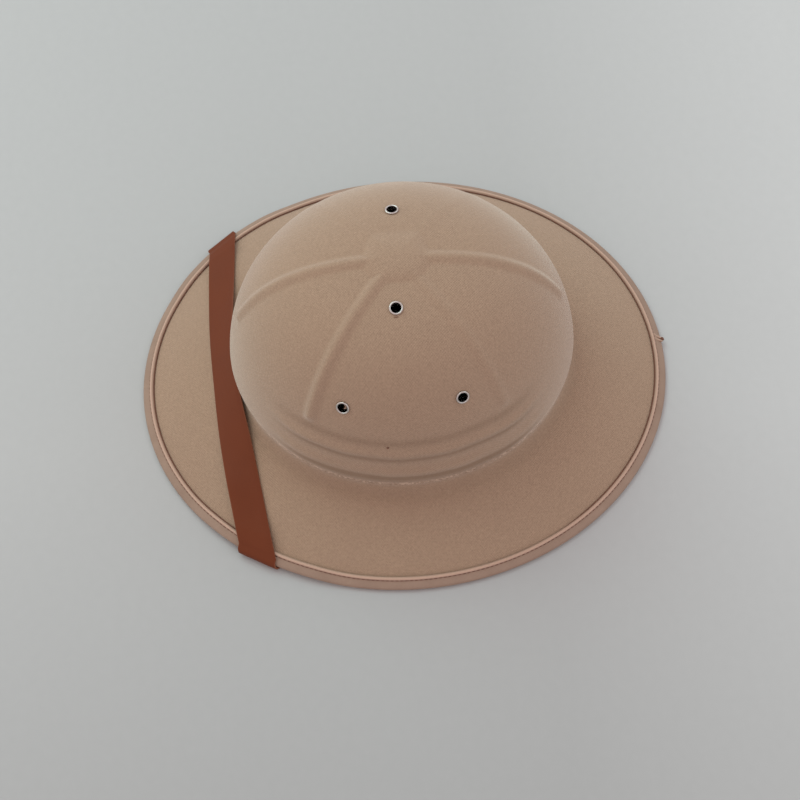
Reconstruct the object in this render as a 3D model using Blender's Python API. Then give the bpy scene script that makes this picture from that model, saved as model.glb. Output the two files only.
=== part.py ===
"""A pith helmet of cloth over moulded foam, resting on its brim. Run with Blender; sizes in metres, +Z up.

The front faces -Y. Plan angles start at the front and run towards +X, so +X is at 90 degrees.
"""

import math

import bmesh
import bpy
from mathutils import Matrix, Vector

# Overall sizes of the hat
BRIM_LENGTH = 0.330
BRIM_WIDTH = 0.2868
CROWN_LENGTH = 0.209
CROWN_WIDTH = 0.185
DOME_TOP = 0.1424
SEAM_HEIGHT = 0.0350

# The crown: a dome of superellipse section on an oval plan, drawn in a little at its seam
CROWN_WALL = 0.003
DOME_PLAN_POWER = 2.6
DOME_HEIGHT_POWER = 2.05
SEAM_DRAW_IN = 0.0032
DRAW_IN_HEIGHT = 0.016

# Six raised ribs run from the boss towards the sides. Angles are on the oval plan.
RIB_ANGLES = [math.radians(a) for a in (0, 54, 126, 180, 234, 306)]
RIB_WIDTH = 0.0095
RIB_HEIGHT = 0.0017
RIB_FOOT_HEIGHT = 0.0855
RIB_END_LENGTH = 0.006

# The six-sided boss at the top has a corner on each rib
BOSS_LENGTH = 0.037
BOSS_WIDTH = 0.0265
BOSS_HEIGHT = 0.0022
BOSS_FLAT_ANGLE = math.radians(55)
BOSS_SLOPE_SHARE = 0.17

# Soft moulded folds lie round both flanks, above the seam
FOLD_PITCH = 0.0175
FOLD_DEPTH = 0.0011
FOLD_FIRST_RIDGE = 0.005
FOLD_TOP_SHARE = 0.475
FOLD_FADE = 0.007
FOLD_FLANK_START = 0.62
FOLD_FLANK_FULL = 0.86

# The brim: a sheet that rises from its bound edge to the crown, with a stand-up collar inside the crown
BRIM_SHEET = 0.0018
BRIM_FLARE = -0.3
BRIM_EDGE_DEPTH = 0.0009
BRIM_FILLET = 0.007
COLLAR_WALL = 0.002
COLLAR_HEIGHT = 0.008
SEAM_GAP = 0.0003

# The tape that binds the brim's edge, with a corded roll along its inner side
TAPE_THICKNESS = 0.001
TAPE_LEG = 0.0056
TAPE_GAP = 0.0003
ROLL_HEIGHT = 0.0008
ROLL_WIDTH = 0.0018
TAPE_PRESS_ANGLE = math.radians(24)

# Metal eyelets, with a washer inside. Their places are shares of the crown's half width and half length.
EYELET_BORE = 0.0049
EYELET_BARREL = 0.0004
EYELET_FLANGE = 0.0082
EYELET_RIM_HEIGHT = 0.0008
EYELET_SEAT_GAP = 0.00035
EYELET_BACK_GAP = 0.0009
EYELET_BACK_WALL = 0.0004
EYELET_WASHER = 0.0075
EYELET_CREST_START = 0.28
EYELET_CREST_END = 0.66
EYELET_TABLE = [
    {"name": "eyelet_left_upper", "across": 0.317, "along": -0.020},
    {"name": "eyelet_left_front", "across": 0.750, "along": -0.338},
    {"name": "eyelet_left_rear", "across": 0.750, "along": 0.296},
    {"name": "eyelet_right_upper", "across": -0.370, "along": -0.005},
    {"name": "eyelet_right_front", "across": -0.845, "along": -0.318},
    {"name": "eyelet_right_rear", "across": -0.845, "along": 0.318},
]

# The chin strap, worn up over the front of the brim. Its ends lie inside the crown at the sides.
STRAP_WIDTH = 0.020
STRAP_THICKNESS = 0.0014
STRAP_GAP = 0.00035
STRAP_CROWN_CLEARANCE = 0.0019
STRAP_SKEW = 0.155
STRAP_BEND = 0.030
STRAP_LEAN = math.radians(42)
STRAP_LEAN_REACH = 0.62
STRAP_PULLED_SHARE = 0.86
STRAP_PULL_LENGTH = 0.060
STRAP_UNDER_RUN = 0.058
STRAP_TURN_RUN = 0.044
STRAP_TAIL = 0.014
STRAP_SWINGS = {1: math.radians(3), -1: 0.0}
STRAP_CREEP = 0.45
STRAP_LIFT_REACH = 0.027
STRAP_LIFT_FADE = 2.0

# Mesh divisions. The crown's rings are shares of its plan, or of its height where the wall is steep.
RIB_COLUMNS = 5
RIB_LARGEST_TURN = 0.34
PANEL_COLUMNS = 7
CROWN_INSIDE_PLANS = [0.18, 0.34, 0.50, 0.65, 0.77, 0.86]
CROWN_INSIDE_HEIGHTS = [0.45, 0.20, 0.0]
CROWN_LOW_RINGS = 13
CROWN_UPPER_PLANS = [0.905, 0.865, 0.81, 0.745, 0.67, 0.585, 0.495, 0.40, 0.31, 0.245]
BOSS_RINGS = [1 + BOSS_SLOPE_SHARE, 1.0, 0.55]
BRIM_COLUMNS = 64
BRIM_RINGS = 4
FILLET_STEPS = 4
EYELET_STEPS = 12
TAPE_ARC_STEPS = 4
STRAP_TOP_STATIONS = 16
STRAP_STATION_CROWDING = 1.5
STRAP_WRAP_STEPS = 6
STRAP_UNDER_STATIONS = 7
STRAP_TURN_STATIONS = 16

# Derived sizes
TAPE_CAVITY = BRIM_SHEET / 2 + TAPE_GAP
TAPE_RADIUS = TAPE_CAVITY + TAPE_THICKNESS
CROWN_HALF = Vector((CROWN_WIDTH / 2, CROWN_LENGTH / 2))
SEAM_HALF = CROWN_HALF - Vector((SEAM_DRAW_IN, SEAM_DRAW_IN))
EDGE_HALF = Vector((BRIM_WIDTH / 2, BRIM_LENGTH / 2)) - Vector((TAPE_RADIUS, TAPE_RADIUS))
SPAN = EDGE_HALF - SEAM_HALF
DOME_HEIGHT = DOME_TOP - SEAM_HEIGHT
FOLD_TOP = DOME_HEIGHT * FOLD_TOP_SHARE
EDGE_HEIGHT = TAPE_RADIUS * math.cos(TAPE_PRESS_ANGLE)
BRIM_ROOT_HEIGHT = SEAM_HEIGHT - SEAM_GAP - BRIM_FILLET - BRIM_SHEET / 2
BRIM_RISE = BRIM_ROOT_HEIGHT - EDGE_HEIGHT
STRAP_LIFT = STRAP_GAP + STRAP_THICKNESS
STRAP_LEANING_HALF = STRAP_WIDTH / 2 * math.cos(STRAP_LEAN)
STRAP_FRONT = -(SEAM_HALF.y + STRAP_CROWN_CLEARANCE + STRAP_LEANING_HALF + STRAP_SKEW * STRAP_BEND / 2)
WRAP_RADIUS = TAPE_RADIUS + STRAP_GAP + STRAP_THICKNESS / 2


def smooth(low, high, value):
    """0 below low and 1 above high, easing between them."""
    t = min(max((value - low) / (high - low), 0.0), 1.0)
    return t * t * (3 - 2 * t)


def mix(a, b, share):
    return a + (b - a) * share


def root(function, low, high):
    """The place between low and high where the function changes sign."""
    start = function(low) > 0
    for _ in range(50):
        middle = (low + high) / 2
        if (function(middle) > 0) == start:
            low = middle
        else:
            high = middle
    return (low + high) / 2


def oval(half, angle):
    """A point on an oval of those half sizes, at a plan angle from the front."""
    return Vector((half.x * math.sin(angle), -half.y * math.cos(angle)))


# Materials


def material(name, colour, roughness, metallic=0.0):
    made = bpy.data.materials.new(name)
    made.use_nodes = True
    shader = made.node_tree.nodes["Principled BSDF"]
    shader.inputs["Base Color"].default_value = (*colour, 1.0)
    shader.inputs["Roughness"].default_value = roughness
    shader.inputs["Metallic"].default_value = metallic
    return made


# Mesh building


def link(name, mesh, finish, parent):
    mesh.shade_smooth()
    mesh.set_sharp_from_angle(angle=math.radians(35))
    mesh.materials.append(finish)
    obj = bpy.data.objects.new(name, mesh)
    bpy.context.scene.collection.objects.link(obj)
    obj.parent = parent
    return obj


def lofted(name, rings, start=None, end=None, closed=False):
    """A mesh skinned over rings of equal count. start and end are poles. closed joins last to first."""
    work = bmesh.new()
    loops = [[work.verts.new(p) for p in ring] for ring in rings]
    pairs = list(zip(loops, loops[1:]))
    if closed:
        pairs.append((loops[-1], loops[0]))
    for low, high in pairs:
        for i in range(len(low)):
            j = (i + 1) % len(low)
            work.faces.new((low[i], low[j], high[j], high[i]))
    for pole, loop in ((start, loops[0]), (end, loops[-1])):
        if pole is not None:
            tip = work.verts.new(pole)
            for i in range(len(loop)):
                work.faces.new((loop[i], loop[(i + 1) % len(loop)], tip))
    bmesh.ops.recalc_face_normals(work, faces=work.faces)
    mesh = bpy.data.meshes.new(name)
    work.to_mesh(mesh)
    work.free()
    return mesh


# The crown's form


def plan_share(height_share):
    """How much of the crown's plan remains at that share of the dome's height."""
    return (1 - height_share**DOME_HEIGHT_POWER) ** (1 / DOME_PLAN_POWER)


def height_share(plan):
    return max(1 - plan**DOME_PLAN_POWER, 0.0) ** (1 / DOME_HEIGHT_POWER)


def dome_point(x, y, share=None):
    """The plain dome over a plan point, and its outward normal. share sets the height of a steep wall."""
    plan = math.hypot(x / CROWN_HALF.x, y / CROWN_HALF.y)
    if share is None:
        share = height_share(plan)
    z = SEAM_HEIGHT + DOME_HEIGHT * share
    side = DOME_PLAN_POWER * max(plan, 1e-6) ** (DOME_PLAN_POWER - 2)
    up = DOME_HEIGHT_POWER * share ** (DOME_HEIGHT_POWER - 1) / DOME_HEIGHT
    normal = Vector((side * x / CROWN_HALF.x**2, side * y / CROWN_HALF.y**2, up)).normalized()
    draw = SEAM_DRAW_IN * (1 - smooth(0, DRAW_IN_HEIGHT, z - SEAM_HEIGHT))
    flat = Vector((x, y, 0)).normalized() if plan > 1e-6 else Vector()
    return Vector((x, y, z)) - flat * draw, normal


def rib_direction(angle):
    return oval(CROWN_HALF, angle).normalized()


def rib_relief(x, y, z):
    best = 0.0
    for angle in RIB_ANGLES:
        direction = rib_direction(angle)
        off = abs(direction.x * y - direction.y * x)
        if direction.x * x + direction.y * y > 0 and off < RIB_WIDTH / 2:
            best = max(best, math.cos(math.pi * off / RIB_WIDTH) ** 2)
    return RIB_HEIGHT * best * smooth(RIB_FOOT_HEIGHT, RIB_FOOT_HEIGHT + RIB_END_LENGTH, z)


def boss_corners():
    """The boss's corners in plan, one on each rib."""
    corners = []
    for angle in RIB_ANGLES:
        direction = rib_direction(angle)
        on_axis = abs(direction.x) < 1e-6
        reach = BOSS_LENGTH / 2 if on_axis else BOSS_WIDTH / 2 / math.sin(BOSS_FLAT_ANGLE)
        corners.append(direction * reach)
    return corners


def boss_radius(direction):
    """How far the boss reaches from its centre in that plan direction."""
    corners = boss_corners()
    for first, second in zip(corners, corners[1:] + corners[:1]):
        edge = second - first
        cross = direction.x * edge.y - direction.y * edge.x
        if abs(cross) < 1e-12:
            continue
        along = (direction.y * first.x - direction.x * first.y) / cross
        out = (first.x * edge.y - first.y * edge.x) / cross
        if out > 0 and -1e-6 <= along <= 1 + 1e-6:
            return out
    return BOSS_LENGTH / 2


def boss_relief(x, y):
    plan = Vector((x, y))
    if plan.length < 1e-6:
        return BOSS_HEIGHT
    reach = plan.length / boss_radius(plan.normalized())
    return BOSS_HEIGHT * (1 - smooth(1, 1 + BOSS_SLOPE_SHARE, reach))


def fold_relief(angle, z):
    flank = smooth(FOLD_FLANK_START, FOLD_FLANK_FULL, abs(math.sin(angle)))
    above = z - SEAM_HEIGHT
    wave = 0.5 + 0.5 * math.cos(2 * math.pi * (above - FOLD_FIRST_RIDGE) / FOLD_PITCH)
    return FOLD_DEPTH * wave * flank * (1 - smooth(FOLD_TOP - FOLD_FADE, FOLD_TOP, above))


def crown_outer(angle, plan, share=None):
    """The crown's outer face, ribs, boss and folds included."""
    x, y = oval(CROWN_HALF * plan, angle)
    point, normal = dome_point(x, y, share)
    relief = max(rib_relief(x, y, point.z), boss_relief(x, y)) + fold_relief(angle, point.z)
    return point + normal * relief


def crown_inner(angle, plan, share=None):
    x, y = oval(CROWN_HALF * plan, angle)
    point, normal = dome_point(x, y, share)
    return point - normal * CROWN_WALL


def rib_turn(angle, offset, plan):
    """The turn in plan that shifts a mesh column sideways off a rib, limited near the top."""
    turn = offset * oval(CROWN_HALF, angle).length / (plan * CROWN_HALF.x * CROWN_HALF.y)
    limit = RIB_LARGEST_TURN * abs(2 * offset / RIB_WIDTH)
    return math.asin(min(max(turn, -limit), limit))


def crown_angles(plan):
    """Plan angles of a ring's mesh columns: some follow each rib's width, and the rest share the panels."""
    angles = []
    following = RIB_ANGLES[1:] + [RIB_ANGLES[0] + 2 * math.pi]
    for angle, further in zip(RIB_ANGLES, following):
        offsets = [RIB_WIDTH * (k / (RIB_COLUMNS - 1) - 0.5) for k in range(RIB_COLUMNS)]
        angles += [angle + rib_turn(angle, offset, plan) for offset in offsets]
        nearer = angles[-1]
        stop = further + rib_turn(further, -RIB_WIDTH / 2, plan)
        count = round(PANEL_COLUMNS * (further - angle) / math.radians(60))
        angles += [mix(nearer, stop, (k + 1) / (count + 1)) for k in range(count)]
    return angles


def boss_ring(share):
    """A ring of the crown that follows the boss's outline, share times as far out."""
    ring = []
    for angle in crown_angles(BOSS_LENGTH * share / CROWN_LENGTH):
        reach = oval(CROWN_HALF, angle)
        plan = boss_radius(reach.normalized()) * share / reach.length
        ring.append(crown_outer(angle, plan))
    return ring


def build_crown(cloth, parent):
    rings = [[crown_inner(a, plan) for a in crown_angles(plan)] for plan in CROWN_INSIDE_PLANS]
    for share in CROWN_INSIDE_HEIGHTS:
        plan = plan_share(share)
        rings.append([crown_inner(a, plan, share) for a in crown_angles(plan)])
    for k in range(CROWN_LOW_RINGS):
        share = height_share(CROWN_UPPER_PLANS[0]) * k / CROWN_LOW_RINGS
        plan = plan_share(share)
        rings.append([crown_outer(a, plan, share) for a in crown_angles(plan)])
    rings += [[crown_outer(a, plan) for a in crown_angles(plan)] for plan in CROWN_UPPER_PLANS]
    rings += [boss_ring(share) for share in BOSS_RINGS]
    mesh = lofted("crown", rings, start=crown_inner(0, 0), end=crown_outer(0, 0))
    crown = link("crown", mesh, cloth, parent)
    for row in EYELET_TABLE:
        cut_eyelet_hole(crown, row)
    return crown


# Eyelets


def eyelet_frame(row):
    """Where an eyelet sits: its centre on the crown's outer face, with +Z along the outward normal."""
    x = row["across"] * CROWN_HALF.x
    y = row["along"] * CROWN_HALF.y
    point, normal = dome_point(x, y)
    turn = normal.to_track_quat("Z", "Y").to_matrix().to_4x4()
    return Matrix.Translation(point) @ turn


def lathe(profile):
    rings = []
    for radius, height in profile:
        turns = [2 * math.pi * k / EYELET_STEPS for k in range(EYELET_STEPS)]
        rings.append([Vector((radius * math.cos(a), radius * math.sin(a), height)) for a in turns])
    return rings


def cut_eyelet_hole(crown, row):
    radius = EYELET_BORE / 2 + EYELET_BARREL + EYELET_SEAT_GAP
    depth = CROWN_WALL * 2
    rings = lathe([(radius, -depth), (radius, depth / 2)])
    ends = Vector((0, 0, -depth)), Vector((0, 0, depth / 2))
    cutter = bpy.data.objects.new("cut_" + row["name"], lofted("hole", rings, *ends))
    cutter.matrix_world = eyelet_frame(row)
    cutter.hide_render = True
    cutter.display_type = "WIRE"
    bpy.context.scene.collection.objects.link(cutter)
    hole = crown.modifiers.new("hole_" + row["name"], "BOOLEAN")
    hole.operation = "DIFFERENCE"
    hole.object = cutter


def build_eyelet(row, metal, parent):
    bore = EYELET_BORE / 2
    barrel = bore + EYELET_BARREL
    flange = EYELET_FLANGE / 2
    seat = EYELET_SEAT_GAP
    crest = seat + EYELET_RIM_HEIGHT
    washer = EYELET_WASHER / 2
    back = -(CROWN_WALL + EYELET_BACK_GAP)
    profile = [
        (bore, back - EYELET_BACK_WALL),
        (bore, mix(seat, crest, 0.5)),
        (mix(bore, flange, EYELET_CREST_START), crest),
        (mix(bore, flange, EYELET_CREST_END), crest),
        (flange, mix(seat, crest, 0.5)),
        (flange, seat),
        (barrel, seat),
        (barrel, back),
        (washer, back),
        (washer, back - EYELET_BACK_WALL),
    ]
    mesh = lofted(row["name"], lathe(profile), closed=True)
    eyelet = link(row["name"], mesh, metal, parent)
    eyelet.matrix_world = eyelet_frame(row)
    return eyelet


# The strap's line in plan, and where it crosses the brim's edge


def strap_lean(x):
    """How far the strap leans against the crown's foot: most at the front, and none at the brim's edge."""
    return STRAP_LEAN * (1 - smooth(0, STRAP_LEAN_REACH, abs(x) / EDGE_HALF.x))


def strap_line(x, hand=0):
    """A point of the strap in plan: on its middle line, or its edge by the crown (+1) or the other (-1)."""
    y = STRAP_FRONT + STRAP_SKEW * (x + math.hypot(x, STRAP_BEND)) / 2
    slope = STRAP_SKEW * (1 + x / math.hypot(x, STRAP_BEND)) / 2
    pulled = mix(1.0, STRAP_PULLED_SHARE, smooth(0, STRAP_PULL_LENGTH, -x))
    half = STRAP_WIDTH / 2 * math.cos(strap_lean(x)) * pulled
    return Vector((x, y)) + Vector((-slope, 1)).normalized() * half * hand


def strap_crossing(side, hand=0):
    """The plan angle where that line of the strap meets the brim's edge, on the +X (+1) or -X (-1) side."""
    def outside(x):
        point = strap_line(side * x, hand)
        return math.hypot(point.x / EDGE_HALF.x, point.y / EDGE_HALF.y) - 1

    point = strap_line(side * root(outside, 0.0, EDGE_HALF.x), hand)
    return math.atan2(point.x / EDGE_HALF.x, -point.y / EDGE_HALF.y)


CROSSINGS = {side: strap_crossing(side) for side in (1, -1)}


def edge_lift(angle):
    """How far the strap under the brim's edge holds it off the ground."""
    plateau = STRAP_LIFT_REACH / EDGE_HALF.x
    lift = 0.0
    for crossing in CROSSINGS.values():
        away = abs((angle - crossing + math.pi) % (2 * math.pi) - math.pi)
        lift = max(lift, 1 - smooth(plateau, STRAP_LIFT_FADE * plateau, away))
    return STRAP_LIFT * lift


# The brim's form


def brim_span(angle):
    """The brim's width in plan at that angle, from the crown's foot to the middle of the bound edge."""
    return math.hypot(SPAN.x * math.sin(angle), SPAN.y * math.cos(angle))


def brim_middle(angle, share):
    """The height of the brim sheet's middle, from the crown's foot (share 0) to the edge (share 1)."""
    rise = BRIM_RISE * (1 - share) * (1 - BRIM_FLARE * share)
    return EDGE_HEIGHT + rise + edge_lift(angle) * share**2


def brim_slope(angle, share):
    """The angle by which the sheet falls outward."""
    fall = BRIM_RISE * (1 + BRIM_FLARE - 2 * BRIM_FLARE * share) - 2 * edge_lift(angle) * share
    return math.atan2(fall, brim_span(angle))


def fillet_height(share):
    """How much the sheet's top rises into the crown's wall, near the crown's foot."""
    away = share * (SPAN.x + SPAN.y) / 2
    if away >= BRIM_FILLET:
        return 0.0
    return BRIM_FILLET - math.sqrt(BRIM_FILLET**2 - (BRIM_FILLET - away) ** 2)


def sheet_point(angle, share, face):
    """A point on the brim sheet's top (face +1) or underside (-1), without the fillet."""
    slope = brim_slope(angle, share)
    plan = oval(SEAM_HALF + SPAN * share, angle)
    out = plan.normalized() * math.sin(slope) * face * BRIM_SHEET / 2
    z = brim_middle(angle, share) + math.cos(slope) * face * BRIM_SHEET / 2
    return Vector((plan.x + out.x, plan.y + out.y, z))


def collar_point(angle, inset, height):
    plan = oval(SEAM_HALF - Vector((inset, inset)), angle)
    return Vector((plan.x, plan.y, height))


def brim_rings(angles):
    """The brim's section swept round: collar, ledge under the crown, fillet, top, edge and underside."""
    foot = SEAM_HEIGHT - SEAM_GAP
    outer = CROWN_WALL + SEAM_GAP
    inner = outer + COLLAR_WALL
    top = SEAM_HEIGHT + COLLAR_HEIGHT
    mean_span = (SPAN.x + SPAN.y) / 2
    edge = 1 + BRIM_EDGE_DEPTH / mean_span
    rings = [[collar_point(a, outer, top) for a in angles]]
    rings.append([collar_point(a, outer, foot) for a in angles])
    for k in range(FILLET_STEPS):
        turn = math.pi / 2 * k / FILLET_STEPS
        share = BRIM_FILLET * (1 - math.cos(turn)) / mean_span
        fillet = [sheet_point(a, share, 1) for a in angles]
        rings.append([p + Vector((0, 0, fillet_height(share))) for p in fillet])
    first = BRIM_FILLET / mean_span
    for k in range(BRIM_RINGS + 1):
        share = mix(first, edge, k / BRIM_RINGS)
        rings.append([sheet_point(a, share, 1) for a in angles])
    for k in range(BRIM_RINGS + 1):
        share = mix(edge, first / 2, k / BRIM_RINGS)
        rings.append([sheet_point(a, share, -1) for a in angles])
    turn_height = foot - BRIM_FILLET
    rings.append([collar_point(a, inner * 0.6, turn_height - BRIM_SHEET / 3) for a in angles])
    rings.append([collar_point(a, inner, turn_height + BRIM_SHEET) for a in angles])
    rings.append([collar_point(a, inner, top) for a in angles])
    return rings


def brim_angles():
    return [2 * math.pi * k / BRIM_COLUMNS for k in range(BRIM_COLUMNS)]


def build_brim(cloth, parent):
    return link("brim", lofted("brim", brim_rings(brim_angles()), closed=True), cloth, parent)


# The binding round the edge


def tape_section(slope):
    """The tape's section about its round's middle: (outward, up) pairs, before it is pressed flat below."""
    inside_end = BRIM_EDGE_DEPTH + TAPE_GAP
    leaning = [
        (-TAPE_LEG, TAPE_CAVITY),
        (-TAPE_LEG - ROLL_WIDTH / 4, TAPE_RADIUS),
        (-TAPE_LEG + ROLL_WIDTH / 3, TAPE_RADIUS + ROLL_HEIGHT),
        (-TAPE_LEG + ROLL_WIDTH, TAPE_RADIUS - ROLL_HEIGHT / 8),
    ]
    closing = [
        (-TAPE_LEG, -TAPE_RADIUS),
        (-TAPE_LEG, -TAPE_CAVITY),
        (inside_end, -TAPE_CAVITY),
        (inside_end, TAPE_CAVITY),
    ]

    def leaned(pairs):
        c, s = math.cos(slope), math.sin(slope)
        return [(u * c + v * s, v * c - u * s) for u, v in pairs]

    start = math.pi - slope
    turns = [mix(start, TAPE_PRESS_ANGLE, k / TAPE_ARC_STEPS) for k in range(TAPE_ARC_STEPS + 1)]
    turns.append(-min(TAPE_PRESS_ANGLE, slope))
    arc = [(TAPE_RADIUS * math.sin(t), -TAPE_RADIUS * math.cos(t)) for t in turns]
    return leaned(leaning) + arc + leaned(closing)


def build_binding(cloth, parent):
    columns = []
    for angle in brim_angles():
        plan = oval(EDGE_HALF, angle)
        out = Vector((math.sin(angle) / EDGE_HALF.x, -math.cos(angle) / EDGE_HALF.y)).normalized()
        middle = brim_middle(angle, 1)
        section = []
        for outward, up in tape_section(brim_slope(angle, 1)):
            flat = plan + out * outward
            section.append(Vector((flat.x, flat.y, max(middle + up, 0.0))))
        columns.append(section)
    return link("brim_binding", lofted("brim_binding", columns, closed=True), cloth, parent)


# The strap


def share_at(point):
    """Where a plan point lies across the brim: 0 at the crown's foot, 1 at the middle of the bound edge."""
    def outside(share):
        half = SEAM_HALF + SPAN * share
        return math.hypot(point.x / half.x, point.y / half.y) - 1

    return root(outside, -0.9, 1.6)


def plan_angle(point):
    half = SEAM_HALF + SPAN * share_at(point)
    return math.atan2(point.x / half.x, -point.y / half.y)


def support_height(point):
    """The height of what lies under the strap: the brim's top, or the tape and its roll near the edge."""
    share = share_at(point)
    angle = plan_angle(point)
    slope = brim_slope(angle, share)
    inward = (1 - share) * brim_span(angle) / math.cos(slope)
    cover = BRIM_SHEET / 2
    if inward < TAPE_LEG + ROLL_WIDTH:
        cover = TAPE_RADIUS
    if TAPE_LEG - ROLL_WIDTH * 2 < inward < TAPE_LEG + ROLL_WIDTH * 3:
        cover = TAPE_RADIUS + ROLL_HEIGHT
    return brim_middle(angle, share) + cover / math.cos(slope) + fillet_height(share)


def roof_height(point):
    """The height of what the strap under the brim lies against: the sheet, or the tape near the edge."""
    share = share_at(point)
    angle = plan_angle(point)
    slope = brim_slope(angle, share)
    inward = (1 - share) * brim_span(angle) / math.cos(slope)
    near_tape = inward < TAPE_LEG + STRAP_UNDER_RUN / STRAP_UNDER_STATIONS
    cover = TAPE_RADIUS if near_tape else BRIM_SHEET / 2
    return brim_middle(angle, share) - cover / math.cos(slope)


def taut(places, heights):
    """The line of a band pulled tight over those heights: it touches the high ones and bridges the rest."""
    hull = []
    for k in range(len(places)):
        while len(hull) > 1:
            a, b = hull[-2], hull[-1]
            left = (heights[b] - heights[a]) * (places[k] - places[a])
            right = (heights[k] - heights[a]) * (places[b] - places[a])
            if left > right:
                break
            hull.pop()
        hull.append(k)
    lifted = []
    for a, b in zip(hull, hull[1:]):
        for k in range(a, b):
            share = (places[k] - places[a]) / (places[b] - places[a])
            lifted.append(mix(heights[a], heights[b], share))
    return lifted + [heights[hull[-1]]]


class EdgeWrap:
    """How the strap turns round the brim's edge on one side: aslant, so that it creeps along the edge."""

    def __init__(self, side):
        angle = CROSSINGS[side]
        self.side = side
        self.square = Vector((math.sin(angle) / EDGE_HALF.x, -math.cos(angle) / EDGE_HALF.y)).normalized()
        self.out = Matrix.Rotation(STRAP_SWINGS[side], 2) @ self.square
        ends = [strap_crossing(side, hand) for hand in (1, -1)]
        under = [oval(EDGE_HALF, mix(ends[0], ends[1], k / 8)) for k in range(-1, 10)]
        self.reach = max(point.dot(self.out) for point in under)
        self.slope = brim_slope(angle, 1)
        self.height = brim_middle(angle, 1)
        self.crossing_x = {hand: self.find_crossing(hand) for hand in (1, -1)}
        x = self.crossing_x[1]
        self.step = (strap_line(x) - strap_line(x - side * 0.001)).normalized()
        self.creep = (self.step / self.step.dot(self.out) - self.out) * STRAP_CREEP

    def find_crossing(self, hand):
        def beyond(x):
            return strap_line(self.side * x, hand).dot(self.out) - self.reach

        return self.side * root(beyond, 0.0, EDGE_HALF.x * 1.2)

    def normal(self, turn):
        """The strap's face normal at that turn round the edge, 0 on the brim's top and pi underneath."""
        lean = turn + self.slope
        flat = self.out * math.sin(lean)
        return Vector((flat.x, flat.y, math.cos(lean)))

    def around(self, hand, turn):
        base = strap_line(self.crossing_x[hand], hand) + self.creep * WRAP_RADIUS * turn
        return Vector((base.x, base.y, self.height)) + self.normal(turn) * WRAP_RADIUS

    def folded_direction(self):
        """The strap's plan direction under the brim, after the fold over the edge."""
        return (self.step - self.square * 2 * self.step.dot(self.square)).normalized()


def station(inner, outer, face):
    """One cross-section of the strap: its inner and outer edge at mid thickness, and its face normal."""
    along_face = (inner - outer).normalized()
    normal = (face - along_face * face.dot(along_face)).normalized()
    return {"inner": inner, "outer": outer, "normal": normal}


def strap_top():
    """Stations of the strap on the brim's top, from the -X edge to the +X edge."""
    wraps = {side: EdgeWrap(side) for side in (1, -1)}
    count = STRAP_TOP_STATIONS
    crowded = [1 - (1 - k / count) ** STRAP_STATION_CROWDING for k in range(count + 1)]
    shares = [-share for share in reversed(crowded[1:])] + crowded
    lines = {1: [], -1: []}
    for hand, line in lines.items():
        for share in shares:
            wrap = wraps[1 if share > 0 else -1]
            plan = strap_line(abs(share) * wrap.crossing_x[hand], hand)
            z = support_height(plan) + STRAP_GAP + STRAP_THICKNESS / 2
            if abs(share) == 1:
                z = wrap.around(hand, 0).z
                plan = wrap.around(hand, 0).xy
            line.append(Vector((plan.x, plan.y, z)))
    rises = [STRAP_WIDTH * math.sin(strap_lean(p.x)) for p in lines[-1]]
    lows = [max(outer.z, inner.z - rise) for outer, inner, rise in zip(lines[-1], lines[1], rises)]
    lows = taut([p.x for p in lines[-1]], lows)
    stations = []
    for inner, outer, low, rise in zip(lines[1], lines[-1], lows, rises):
        inner.z = low + rise
        outer.z = low
        stations.append(station(inner, outer, Vector((0, 0, 1))))
    return stations


def hung(point):
    """The strap's middle height where it lies against the brim's underside."""
    share = share_at(point)
    slope = brim_slope(plan_angle(point), share)
    return roof_height(point) - (STRAP_GAP * 2 + STRAP_THICKNESS / 2) / math.cos(slope)


def strap_end(side):
    """Stations from the brim's edge, round it, under the brim and up onto the collar's inner face."""
    wrap = EdgeWrap(side)
    stations = []
    for k in range(1, STRAP_WRAP_STEPS + 1):
        turn = math.pi * k / STRAP_WRAP_STEPS
        stations.append(station(wrap.around(1, turn), wrap.around(-1, turn), wrap.normal(turn)))
    start = stations[-1]
    heading = wrap.folded_direction().to_3d()
    width = start["outer"] - start["inner"]
    across = (width - heading * width.dot(heading)).normalized() * STRAP_WIDTH / 2
    middle = (start["inner"] + start["outer"]) / 2
    stop = middle + heading * STRAP_UNDER_RUN
    for k in range(1, STRAP_UNDER_STATIONS + 1):
        share = (k / STRAP_UNDER_STATIONS) ** 1.4
        inner = start["inner"].lerp(stop - across, share)
        outer = start["outer"].lerp(stop + across, share)
        inner.z = hung(inner)
        outer.z = hung(outer)
        stations.append(station(inner, outer, Vector((0, 0, -1))))
    return stations + strap_turn(side, stations[-1])


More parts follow.
